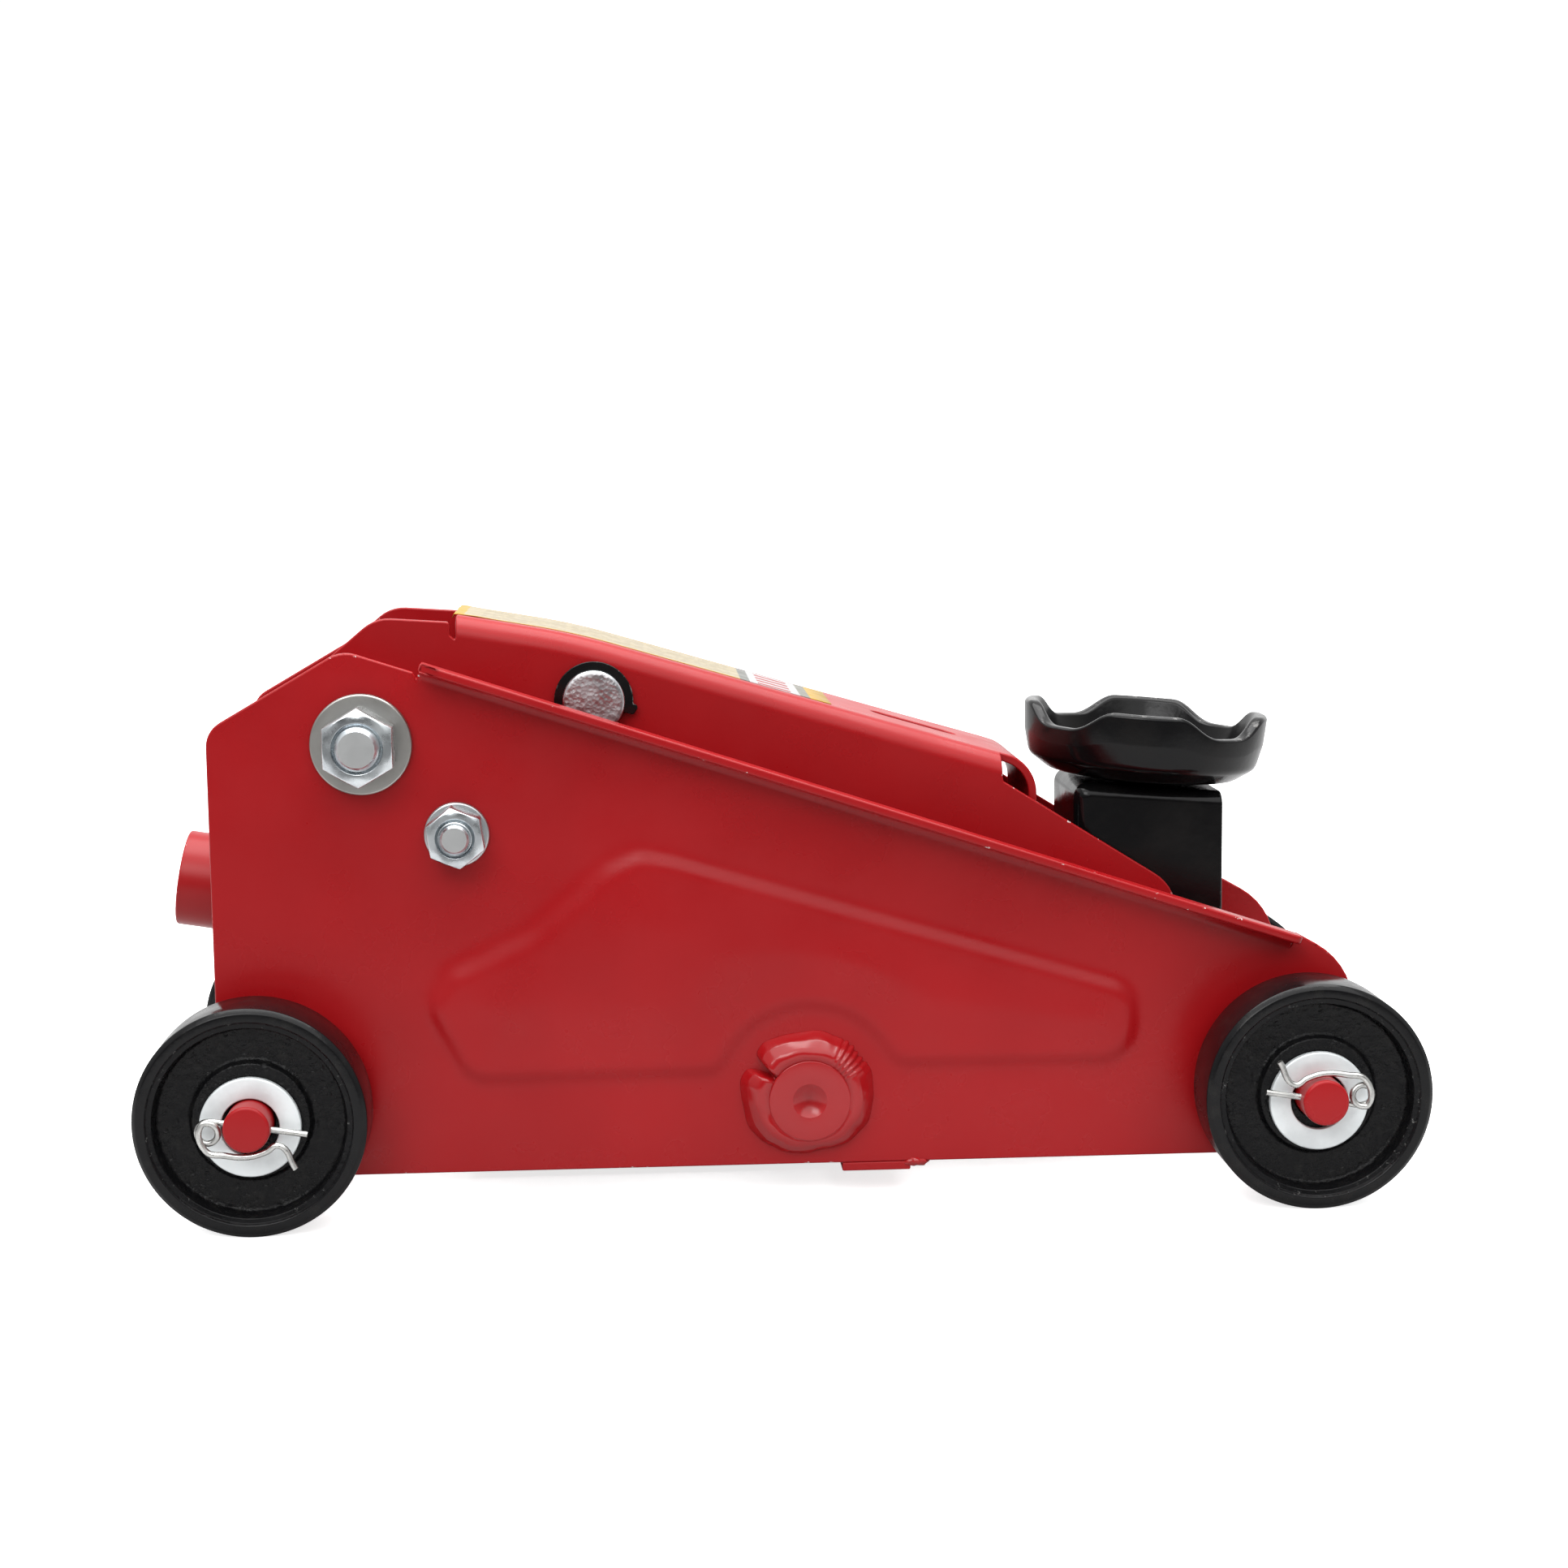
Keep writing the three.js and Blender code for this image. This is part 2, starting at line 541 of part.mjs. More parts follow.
// Flat ram head: a gently hollowed top that carries the ram pin, and a rear ear for the springs.
function ramHead() {
  const hollow = 60;
  const top = ramReach - RAM_PIN_RADIUS - 0.5;
  const sag = hollow - Math.sqrt(hollow ** 2 - 16 ** 2);
  const cradle = [-16, -8, 0, 8, 16].map((across) => {
    const rise = hollow - Math.sqrt(hollow ** 2 - across ** 2);
    return new THREE.Vector2(...beside(TRUNNION, top + Math.min(rise, sag), across));
  });
  const plate = outline(
    cradle, beside(TRUNNION, HEAD.bottom, 16),
    beside(TRUNNION, HEAD.bottom, -42), beside(TRUNNION, HEAD.bottom + 5, -42),
    beside(TRUNNION, HEAD.bottom + 5, -17),
  );
  return slab(plate, -21, 21);
}

function buildPowerUnit() {
  part('power_block', powerBlock(), 'castBlack');
  const from = SEAT + GAP;
  const reservoir = tube(RESERVOIR.outer, RESERVOIR.inner, from, RESERVOIR.top);
  partAlongRam('reservoir_tube', reservoir, 'blackEnamel', TRUNNION);
  partAlongRam('cylinder_tube', tube(17.5, 14, from, 97), 'oilBlack', TRUNNION);
  const cap = turned([[ROD_RADIUS + 0.4, 97.4], [23.6, 97.4], [23.6, 100.3], [26.5, 100.3],
    [26.5, 109], [24, 111.5], [ROD_RADIUS + 0.4, 111.5], [ROD_RADIUS + 0.4, 97.4]]);
  partAlongRam('gland_cap', cap, 'blackEnamel', TRUNNION);
  const ram = turned([[0, 30], [13.6, 30], [13.6, 34], [ROD_RADIUS, 34],
    [ROD_RADIUS, HEAD.bottom - GAP], [0, HEAD.bottom - GAP]]);
  partAlongRam('ram', ram, 'brightZinc', TRUNNION);
  part('ram_head', ramHead(), 'dullZinc');

  for (const [word, side] of SIDES) {
    const spring = rod(SPRING.radius, SPRING.from, SPRING.to, 0, 12);
    const mesh = partAlongRam(`return_spring_${word}`, spring, 'springSteel', TRUNNION);
    mesh.position.x += RAM_SIDE.x * SPRING.across;
    mesh.position.z += RAM_SIDE.z * SPRING.across;
    mesh.position.y = side * SPRING.side;
  }

  const plug = rod(5, RESERVOIR.outer + GAP, RESERVOIR.outer + 4, 0.8, 12);
  const [plugX, plugZ] = beside(TRUNNION, 85, 0);
  const plugMesh = part('filler_plug', plug, 'nylon', { x: plugX, z: plugZ });
  plugMesh.quaternion.setFromUnitVectors(Y_AXIS, new THREE.Vector3(RAM_SIDE.x, 0, RAM_SIDE.z));

  partAlongRam('pump_barrel', tube(11, 6.4, PUMP_SEAT + GAP, PUMP_TOP), 'oilBlack', PUMP);
  const contact = -ROLLER_RADIUS - 0.5;
  const plunger = turned([[0, -66], [6, -66], [6, contact - 4], [9, contact - 4],
    [9, contact - 1], [8, contact], [0, contact]]);
  partAlongRam('pump_plunger', plunger, 'brightZinc', PUMP);

  const valve = join(rod(5, 0, 22, 0, 16), slab(hexagon({ x: 0, z: 0 }, 15), 18, 28));
  const valveMesh = part('release_valve', valve, 'brightZinc', { x: -122 - 2.4, z: 27 });
  valveMesh.rotation.z = Math.PI / 2;
}

// ---- handle socket and its yoke -----------------------------------------------------------

function yokePlate(side) {
  const plate = outline(
    [-192, 120.5, 4], [-150, 121.5, 6],
    arcPoints(LINK_PIVOT.x, LINK_PIVOT.z, 11.5, 125, -50), [-136, 102, 10], [-152, 88, 8],
    [-192, 90, 4],
  );
  const holes = [circle(LINK_PIVOT, YOKE.hubRadius + GAP), circle(PUMP, 4 + GAP, 16)];
  return slab(plate, side * YOKE.inner, side * YOKE.outer, holes);
}

function buildHandleSocket() {
  const socket = part('handle_socket', tube(SOCKET.outer, SOCKET.inner, 0, SOCKET.length, 20),
    'redEnamel', SOCKET.rear);
  const forward = new THREE.Vector3(Math.cos(SOCKET_TILT), 0, -Math.sin(SOCKET_TILT));
  socket.quaternion.setFromUnitVectors(Y_AXIS, forward);
  for (const [word, side] of SIDES) {
    part(`yoke_plate_${word}`, yokePlate(side), 'redEnamel');
  }
  const hub = tube(YOKE.hubRadius, LINK_BOLT_RADIUS + GAP, -YOKE.hubEnd, YOKE.hubEnd);
  part('yoke_hub', hub, 'redEnamel', LINK_PIVOT);
  const roller = turned([[0, -22.8], [4, -22.8], [4, -17.6], [ROLLER_RADIUS, -17.6],
    [ROLLER_RADIUS, 17.6], [4, 17.6], [4, 22.8], [0, 22.8]], 16);
  part('pump_roller', roller, 'springSteel', PUMP);
}

buildFrame();
buildRunningGear();
buildBolts();
buildArm();
buildSaddle();
buildPowerUnit();
buildHandleSocket();

export default jack;
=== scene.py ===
"""Low-profile hydraulic trolley jack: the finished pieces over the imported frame.

Pieces are drawn in millimetres and scaled to metres when they are finished.
+X runs from the handle socket to the saddle, +Y to the left side, +Z up.
"""

import math

import bmesh
import bpy
from mathutils import Matrix, Vector, noise


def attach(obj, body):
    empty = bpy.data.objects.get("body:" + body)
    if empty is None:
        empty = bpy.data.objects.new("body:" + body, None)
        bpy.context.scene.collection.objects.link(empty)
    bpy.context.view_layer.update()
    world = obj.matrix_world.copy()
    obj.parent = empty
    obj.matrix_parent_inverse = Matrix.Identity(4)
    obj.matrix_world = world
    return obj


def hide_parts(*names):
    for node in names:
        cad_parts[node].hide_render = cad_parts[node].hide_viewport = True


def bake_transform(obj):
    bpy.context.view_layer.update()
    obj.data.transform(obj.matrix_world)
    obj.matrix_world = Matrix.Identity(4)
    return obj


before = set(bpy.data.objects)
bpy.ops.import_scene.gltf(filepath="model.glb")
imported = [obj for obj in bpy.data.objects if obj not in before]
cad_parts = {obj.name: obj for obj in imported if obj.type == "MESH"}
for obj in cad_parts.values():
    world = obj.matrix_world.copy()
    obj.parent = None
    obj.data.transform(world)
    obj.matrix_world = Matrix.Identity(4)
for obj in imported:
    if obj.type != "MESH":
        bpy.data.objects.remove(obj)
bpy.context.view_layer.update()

MM = 0.001
SHEET = 3.0
GAP = 0.3

PLATE_OUTER = 62.8
PLATE_BOTTOM = 12.4
FLANGE_OUTER = 74.8
FLANGE_START = Vector((-124.5, 194.9))
FLANGE_END = Vector((183.7, 92.9))
REAR_AXLE = (-185.0, 40.0)
FRONT_AXLE = (185.0, 40.0)
ARM_PIVOT = (-146.3, 166.2)
ARM_TIP = (129.0, 96.0)
LINK_PIVOT = (-114.0, 134.0)
LINK_TIP = (161.3, 63.8)
TRUNNION = (8.3, 37.2)
TRUNNION_RADIUS = 14.5
RAM_PIN = (-65.7, 177.5)
BRACKET_REAR = 109.7
BRACKET_TOP = 143.4
# The bracket's roof leans down to the front, and the saddle sits square on it. The saddle's own
# heights are measured from SADDLE_SEAT along its tilted axis.
SADDLE_TILT = math.radians(4.5)
SADDLE_SEAT = (138.6, BRACKET_TOP - (138.6 - BRACKET_REAR) * math.tan(SADDLE_TILT))
SADDLE_TURN = math.radians(-10)
SADDLE_TOP = 27.6
SADDLE_VALLEY = 20.1
SLEEVE_END = PLATE_OUTER - SHEET - GAP
CLIP_PLANE = 98.6
CLIP_WIRE = 1.1

RAM_REACH = math.hypot(RAM_PIN[0] - TRUNNION[0], RAM_PIN[1] - TRUNNION[1])
RAM_X = (RAM_PIN[0] - TRUNNION[0]) / RAM_REACH
RAM_Z = (RAM_PIN[1] - TRUNNION[1]) / RAM_REACH
PUMP = (LINK_PIVOT[0] - 34 * RAM_Z, LINK_PIVOT[1] + 34 * RAM_X)

SIDES = (("right", -1), ("left", 1))


# ---- drawing helpers ----------------------------------------------------------------------

def arc(centre, radius, start, stop, step=9.0):
    """Points of an arc in (x, z), in degrees."""
    count = max(1, round(abs(stop - start) / step))
    angles = [math.radians(start + (stop - start) * i / count) for i in range(count + 1)]
    return [(centre[0] + radius * math.cos(a), centre[1] + radius * math.sin(a)) for a in angles]


def circle(centre, radius, sides=48):
    return arc(centre, radius, 0, 360, 360 / sides)[:-1]


def fillet(before, point, after, radius, step):
    one, two = (before - point).normalized(), (after - point).normalized()
    half = one.angle(two) / 2
    centre = point + (one + two).normalized() * (radius / math.sin(half))
    first = point + one * (radius / math.tan(half)) - centre
    turn = math.pi - 2 * half
    sign = 1 if two.x * one.y - two.y * one.x > 0 else -1
    count = max(2, round(math.degrees(turn) / step))
    return [tuple(centre + Matrix.Rotation(sign * turn * i / count, 2) @ first)
            for i in range(count + 1)]


def outline(*entries, step=9.0):
    """An outline in (x, z). An entry is (x, z), (x, z, fillet radius) or a ready list of points."""
    ends = [(e[0], e[-1]) if isinstance(e, list) else (e[:2], e[:2]) for e in entries]
    points = []
    for i, entry in enumerate(entries):
        if isinstance(entry, list):
            points += entry
        elif len(entry) == 2:
            points.append(entry)
        else:
            after = ends[(i + 1) % len(entries)][0]
            before = ends[i - 1][1]
            points += fillet(Vector(before), Vector(entry[:2]), Vector(after), entry[2], step)
    return points


def fill(loops, to_space=lambda x, z: (x, 0, z), facing=(0, -1, 0)):
    """Flat sheet from an outline and its holes, with its front towards facing."""
    bm = bmesh.new()
    for loop in loops:
        verts = [bm.verts.new(to_space(*point)) for point in loop]
        for one, two in zip(verts, verts[1:] + verts[:1]):
            bm.edges.new((one, two))
    bmesh.ops.triangle_fill(bm, edges=bm.edges[:], use_beauty=True, use_dissolve=False)
    bmesh.ops.dissolve_limit(bm, angle_limit=math.radians(0.5), verts=[], edges=bm.edges[:],
                             use_dissolve_boundaries=False, delimit={"NORMAL"})
    face_towards(bm, facing)
    return bm


def face_towards(bm, facing):
    bmesh.ops.recalc_face_normals(bm, faces=bm.faces[:])
    largest = max(bm.faces, key=lambda face: face.calc_area())
    if largest.normal.dot(Vector(facing)) < 0:
        bmesh.ops.reverse_faces(bm, faces=bm.faces[:])


def slab(points, one_y, other_y, holes=()):
    """Plate of even thickness between two values of Y."""
    bm = fill([points, *holes])
    bmesh.ops.translate(bm, vec=(0, one_y, 0), verts=bm.verts[:])
    grown = bmesh.ops.extrude_face_region(bm, geom=bm.faces[:])
    moved = [item for item in grown["geom"] if isinstance(item, bmesh.types.BMVert)]
    bmesh.ops.translate(bm, vec=(0, other_y - one_y, 0), verts=moved)
    bmesh.ops.recalc_face_normals(bm, faces=bm.faces[:])
    return bm


def turned(profile, steps=96):
    """A (radius, y) profile spun once about the Y axis, with its poles closed."""
    bm = bmesh.new()
    verts = [bm.verts.new((radius, y, 0)) for radius, y in profile]
    edges = [bm.edges.new(pair) for pair in zip(verts, verts[1:])]
    bmesh.ops.spin(bm, geom=verts + edges, cent=(0, 0, 0), axis=(0, 1, 0), angle=math.tau,
                   steps=steps, use_merge=True)
    bmesh.ops.remove_doubles(bm, verts=bm.verts[:], dist=1e-4)
    bmesh.ops.recalc_face_normals(bm, faces=bm.faces[:])
    return bm


def closed(*entries, step=15.0):
    """Closed (radius, y) profile with rounded corners, for a turned ring."""
    points = outline(*entries, step=step)
    return points + points[:1]


def open_profile(*entries, step=15.0):
    """Open (radius, y) profile whose first and last points are sharp."""
    return outline(*entries, step=step)


def eased_ring(inner, outer, low, high, bore_edge, edge, steps=96):
    """Turned ring of plain section, with its bore and its outer edges eased."""
    return turned(closed((inner, low, bore_edge), (outer, low, edge), (outer, high, edge),
                         (inner, high, bore_edge)), steps)


def copy_into(bm, other):
    """Adds another bmesh to this one, then frees it."""
    spare = bpy.data.meshes.new("spare")
    other.to_mesh(spare)
    other.free()
    bm.from_mesh(spare)
    bpy.data.meshes.remove(spare)


def move(bm, matrix):
    bmesh.ops.transform(bm, matrix=matrix, space=Matrix.Identity(4), verts=bm.verts[:])
    if matrix.determinant() < 0:
        bmesh.ops.reverse_faces(bm, faces=bm.faces[:])
    return bm


def across(place):
    """Leaves a piece turned about Y, moved to a point in XZ."""
    return Matrix.Translation((place[0], 0, place[1]))


def along_ram(origin, side_shift=0.0, y=0.0):
    """Turns the Y axis to the ram's direction, from a point in XZ."""
    turn = Matrix(((RAM_Z, RAM_X, 0, 0), (0, 0, -1, 0), (-RAM_X, RAM_Z, 0, 0), (0, 0, 0, 1)))
    shift = (origin[0] + RAM_Z * side_shift, y, origin[1] - RAM_X * side_shift)
    return Matrix.Translation(shift) @ turn


def on_saddle_axis():
    """Turns the Y axis to the saddle's tilted one, at its seat."""
    return (Matrix.Translation((SADDLE_SEAT[0], 0, SADDLE_SEAT[1]))
            @ Matrix.Rotation(SADDLE_TILT, 4, "Y") @ Matrix.Rotation(math.pi / 2, 4, "X"))


MIRROR = Matrix.Scale(-1, 4, (0, 1, 0))


def on_side(bm, side):
    """Pieces are drawn for the left side, and mirrored for the right one."""
    return move(bm, MIRROR) if side < 0 else bm


def beside(origin, along, side_shift):
    return (origin[0] + RAM_X * along + RAM_Z * side_shift,
            origin[1] + RAM_Z * along - RAM_X * side_shift)


def grow_rim(bm, edges):
    """Extrudes a run of rim edges in place. Returns the new points and the new run."""
    grown = bmesh.ops.extrude_edge_only(bm, edges=edges)
    verts = [item for item in grown["geom"] if isinstance(item, bmesh.types.BMVert)]
    fresh = set(verts)
    rim = [edge for edge in {e for v in verts for e in v.link_edges} if set(edge.verts) <= fresh]
    return verts, rim


def fold(bm, edges, rise, toward, radius, steps=8, run=0.0):
    """Bends a rim through a quarter turn: it starts out along rise(vertex) and ends along toward,
    then runs straight on. Returns the last edges."""
    toward = Vector(toward)
    for i in range(steps + (1 if run else 0)):
        verts, edges = grow_rim(bm, edges)
        here, there = math.pi / 2 * i / steps, math.pi / 2 * (i + 1) / steps
        for vert in verts:
            if i < steps:
                vert.co += rise(vert.co) * radius * (math.sin(there) - math.sin(here))
                vert.co += toward * radius * (math.cos(here) - math.cos(there))
            else:
                vert.co += toward * run
    return edges


def edges_between(bm, test):
    return [edge for edge in bm.edges if edge.is_boundary and all(test(v.co) for v in edge.verts)]


def smoothstep(low, high, value):
    share = min(1.0, max(0.0, (value - low) / (high - low)))
    return share * share * (3 - 2 * share)


def piece(name, bm, finishes, body, node=None, sheet=0.0, rim=0.0, rim_steps=2,
          rim_angle=35, crisp=True):
    """Scales a drawing to metres and makes it a finished piece of a body, standing for a node."""
    bmesh.ops.scale(bm, vec=(MM, MM, MM), verts=bm.verts[:])
    mesh = bpy.data.meshes.new(name)
    bm.to_mesh(mesh)
    bm.free()
    mesh.shade_smooth()
    if crisp and not rim:
        mesh.set_sharp_from_angle(angle=math.radians(32))
    finishes = finishes if isinstance(finishes, list) else [finishes]
    for finish in finishes:
        mesh.materials.append(finish)
    obj = bpy.data.objects.new(name, mesh)
    bpy.context.scene.collection.objects.link(obj)
    if sheet:
        wall = obj.modifiers.new("wall", "SOLIDIFY")
        wall.thickness = sheet * MM
        wall.offset = -1
        wall.use_even_offset = True
        wall.use_quality_normals = True
    if rim:
        edge = obj.modifiers.new("rim", "BEVEL")
        edge.width = rim * MM
        edge.segments = rim_steps
        edge.limit_method = "ANGLE"
        edge.angle_limit = math.radians(rim_angle)
        edge.use_clamp_overlap = False
        edge.material = 1 if len(mesh.materials) > 1 else -1
        even = obj.modifiers.new("even shading", "WEIGHTED_NORMAL")
        even.keep_sharp = True
    if body:
        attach(obj, body)
    if node:
        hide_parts(node)
    return obj


# ---- finishes -----------------------------------------------------------------------------

class Finish:
    """A material under construction, with short calls for the nodes that the finishes share.
    A value is a constant or another node's output."""

    def __init__(self, name, **look):
        self.material = bpy.data.materials.new(name)
        self.material.use_nodes = True
        self.nodes = self.material.node_tree.nodes
        self.links = self.material.node_tree.links
        self.surface = self.nodes["Principled BSDF"]
        self.place = self.nodes.new("ShaderNodeTexCoord").outputs["Object"]
        self.look(**look)

    def feed(self, socket, value):
        if isinstance(value, bpy.types.NodeSocket):
            self.links.new(value, socket)
        else:
            socket.default_value = (*value, 1) if socket.type == "RGBA" else value

    def feed_named(self, node, inputs):
        for key, value in inputs.items():
            self.feed(node.inputs[key.replace("_", " ")], value)

    def look(self, **inputs):
        """Sets the surface's own inputs."""
        self.feed_named(self.surface, inputs)

    def node(self, kind, **inputs):
        made = self.nodes.new(kind)
        self.feed_named(made, inputs)
        return made

    def grain(self, scale, detail=3.0, roughness=0.55, stretch=None):
        place = self.place
        if stretch:
            place = self.node("ShaderNodeMapping", Vector=self.place, Scale=stretch).outputs[0]
        return self.node("ShaderNodeTexNoise", Vector=place, Scale=scale, Detail=detail,
                         Roughness=roughness).outputs["Fac"]

    def spots(self, scale):
        return self.node("ShaderNodeTexVoronoi", Vector=self.place, Scale=scale).outputs["Distance"]

    def between(self, value, low, high, out_low=0.0, out_high=1.0):
        made = self.node("ShaderNodeMapRange", Value=value, From_Min=low, From_Max=high,
                         To_Min=out_low, To_Max=out_high)
        made.interpolation_type = "SMOOTHSTEP"
        return made.outputs["Result"]

    def cloud(self, scale, detail, low=0.3, high=0.7, roughness=0.55):
        """Noise that runs from 0 below low to 1 above high."""
        return self.between(self.grain(scale, detail, roughness), low, high)

    def drift(self, scale, detail, out_low, out_high):
        """Noise that wanders between two values."""
        return self.between(self.grain(scale, detail), 0.3, 0.7, out_low, out_high)

    def maths(self, operation, one, two=0.0):
        made = self.nodes.new("ShaderNodeMath")
        made.operation = operation
        self.feed(made.inputs[0], one)
        self.feed(made.inputs[1], two)
        return made.outputs[0]

    def mix(self, share, one, two):
        made = self.nodes.new("ShaderNodeMix")
        made.data_type = "RGBA"
        # The colour pair of a Mix node follows its factor, number and vector sockets.
        for index, value in ((0, share), (6, one), (7, two)):
            self.feed(made.inputs[index], value)
        return made.outputs[2]

    def axis(self, index):
        return self.node("ShaderNodeSeparateXYZ", Vector=self.place).outputs[index]

    def bump(self, *layers):
        """Layers of (height, distance in metres), stacked."""
        below = {}
        for height, distance in layers:
            made = self.node("ShaderNodeBump", Height=height, Distance=distance, Strength=1.0,
                             **below)
            below = {"Normal": made.outputs[0]}
        self.look(**below)


RED = (0.325, 0.0058, 0.0082)
RED_DARK = (0.29, 0.0047, 0.0068)
BLACK = (0.003, 0.003, 0.0034)
CAST_BLACK = (0.004, 0.004, 0.0045)
OIL_FILM = (0.05, 0.05, 0.052)


def red_enamel(name, gloss=0.29, specular=0.26, chips=False):
    """Sprayed red enamel: faint orange peel, slow colour drift, chips only along rims."""
    paint = Finish(name, Specular_IOR_Level=specular)
    colour = paint.mix(paint.cloud(14, 2), RED_DARK, RED)
    roughness = paint.drift(38, 4, gloss - 0.04, gloss + 0.07)
    if chips:
        chip = paint.cloud(420, 3, 0.66, 0.69, roughness=0.6)
        chip = paint.maths("MULTIPLY", chip, paint.cloud(60, 2, 0.48, 0.56))
        colour = paint.mix(chip, colour, (0.62, 0.60, 0.58))
        roughness = paint.maths("ADD", roughness, paint.maths("MULTIPLY", chip, 0.2))
    paint.look(Base_Color=colour, Roughness=roughness)
    paint.bump((paint.grain(900, 2), 0.00001), (paint.grain(60, 1), 0.00003))
    return paint.material


def black_enamel(name, chips=False):
    """Gloss black enamel over steel or iron, with worn grey along rims."""
    paint = Finish(name, Specular_IOR_Level=0.22)
    haze = paint.grain(55, 4)
    colour = paint.mix(paint.between(haze, 0.35, 0.75), BLACK, (0.006, 0.0057, 0.0055))
    if chips:
        worn = paint.cloud(260, 5, 0.55, 0.70, roughness=0.7)
        colour = paint.mix(worn, colour, (0.16, 0.155, 0.15))
    paint.look(Base_Color=colour, Roughness=paint.between(haze, 0.3, 0.7, 0.11, 0.24))
    paint.bump((paint.grain(700, 2), 0.000015), (paint.grain(90, 3), 0.00012))
    return paint.material


def cast_black(name, chips=False):
    """Black paint over a rough sand casting: pits and pimples that stay glossy."""
    paint = Finish(name, Specular_IOR_Level=0.17)
    coarse = paint.grain(330, 4, 0.6)
    if chips:
        worn = paint.cloud(420, 5, 0.60, 0.72, roughness=0.75)
        colour = paint.mix(worn, CAST_BLACK, (0.13, 0.13, 0.125))
        paint.bump((coarse, 0.0003))
    else:
        worn = paint.between(coarse, 0.45, 0.75)
        colour = paint.mix(worn, CAST_BLACK, (0.009, 0.0088, 0.0085))
        pits = paint.between(paint.spots(240), 0.05, 0.32)
        paint.bump((paint.grain(1100, 2), 0.00006), (coarse, 0.0008), (pits, 0.00025))
    paint.look(Base_Color=colour, Roughness=paint.drift(80, 3, 0.18, 0.36))
    return paint.material


def gloss_black(name):
    """The smooth machined tread and rim of a wheel under gloss black."""
    paint = Finish(name, Specular_IOR_Level=0.22)
    dusty = paint.mix(paint.cloud(160, 4, 0.5, 0.8), CAST_BLACK, (0.010, 0.0095, 0.009))
    paint.look(Base_Color=dusty, Roughness=paint.drift(70, 4, 0.12, 0.28))
    paint.bump((paint.grain(500, 3), 0.00006), (paint.grain(90, 2), 0.00012))
    return paint.material


def zinc(name, colour, tint, roughness, mottle=70.0, scratch=0.00002):
    """Plated steel: cloudy plating, small handling marks."""
    metal = Finish(name, Metallic=1.0)
    cloud = metal.grain(mottle, 5, 0.6)
    metal.look(Base_Color=metal.mix(metal.between(cloud, 0.35, 0.7), colour, tint),
               Roughness=metal.drift(mottle * 2.3, 4, roughness - 0.06, roughness + 0.12))
    metal.bump((metal.grain(1500, 2), scratch), (cloud, scratch * 3))
    return metal.material


def faced(name, colour, centre, roughness, metallic=1.0):
    """A washer or pin face with the rings left by a lathe tool, round its own centre."""
    metal = Finish(name, Metallic=metallic)
    local = metal.node("ShaderNodeMapping", Vector=metal.place,
                       Location=(-centre[0] * MM, 0, -centre[1] * MM), Scale=(1, 0, 1)).outputs[0]
    length = metal.node("ShaderNodeVectorMath", Vector=local)
    length.operation = "LENGTH"
    rings = metal.node("ShaderNodeTexNoise", Scale=2600.0, Detail=3.0)
    rings.noise_dimensions = "1D"
    metal.links.new(length.outputs["Value"], rings.inputs["W"])
    cloud = metal.grain(60, 4)
    dull = tuple(channel * 0.8 for channel in colour)
    metal.look(Base_Color=metal.mix(metal.between(cloud, 0.35, 0.7), colour, dull),
               Roughness=metal.between(cloud, 0.3, 0.7, roughness - 0.05, roughness + 0.12))
    metal.bump((rings.outputs["Fac"], 0.00002), (metal.grain(900, 2), 0.00001))
    return metal.material


def hammered(name):
    """The dull, dented end of the ram pin."""
    metal = Finish(name, Metallic=1.0)
    patchy = metal.mix(metal.cloud(120, 4, 0.35), (0.46, 0.45, 0.46), (0.33, 0.32, 0.33))
    metal.look(Base_Color=patchy, Roughness=metal.drift(160, 4, 0.32, 0.55))
    metal.bump((metal.spots(700), 0.00018), (metal.grain(2200, 2), 0.00003))
    return metal.material


def oiled_steel(name):
    metal = Finish(name, Metallic=0.6)
    film = metal.grain(40, 4, stretch=(1, 1, 0.3))
    dark = metal.mix(metal.between(film, 0.35, 0.7), OIL_FILM, (0.022, 0.020, 0.018))
    metal.look(Base_Color=dark, Roughness=metal.between(film, 0.3, 0.7, 0.22, 0.5))
    metal.bump((metal.grain(700, 3), 0.00003))
    return metal.material


def moulded_plug(name):
    rubber = Finish(name, Base_Color=(0.02, 0.02, 0.02), Specular_IOR_Level=0.35)
    rubber.look(Roughness=rubber.drift(200, 3, 0.5, 0.7))
    rubber.bump((rubber.grain(1400, 2), 0.00004))
    return rubber.material


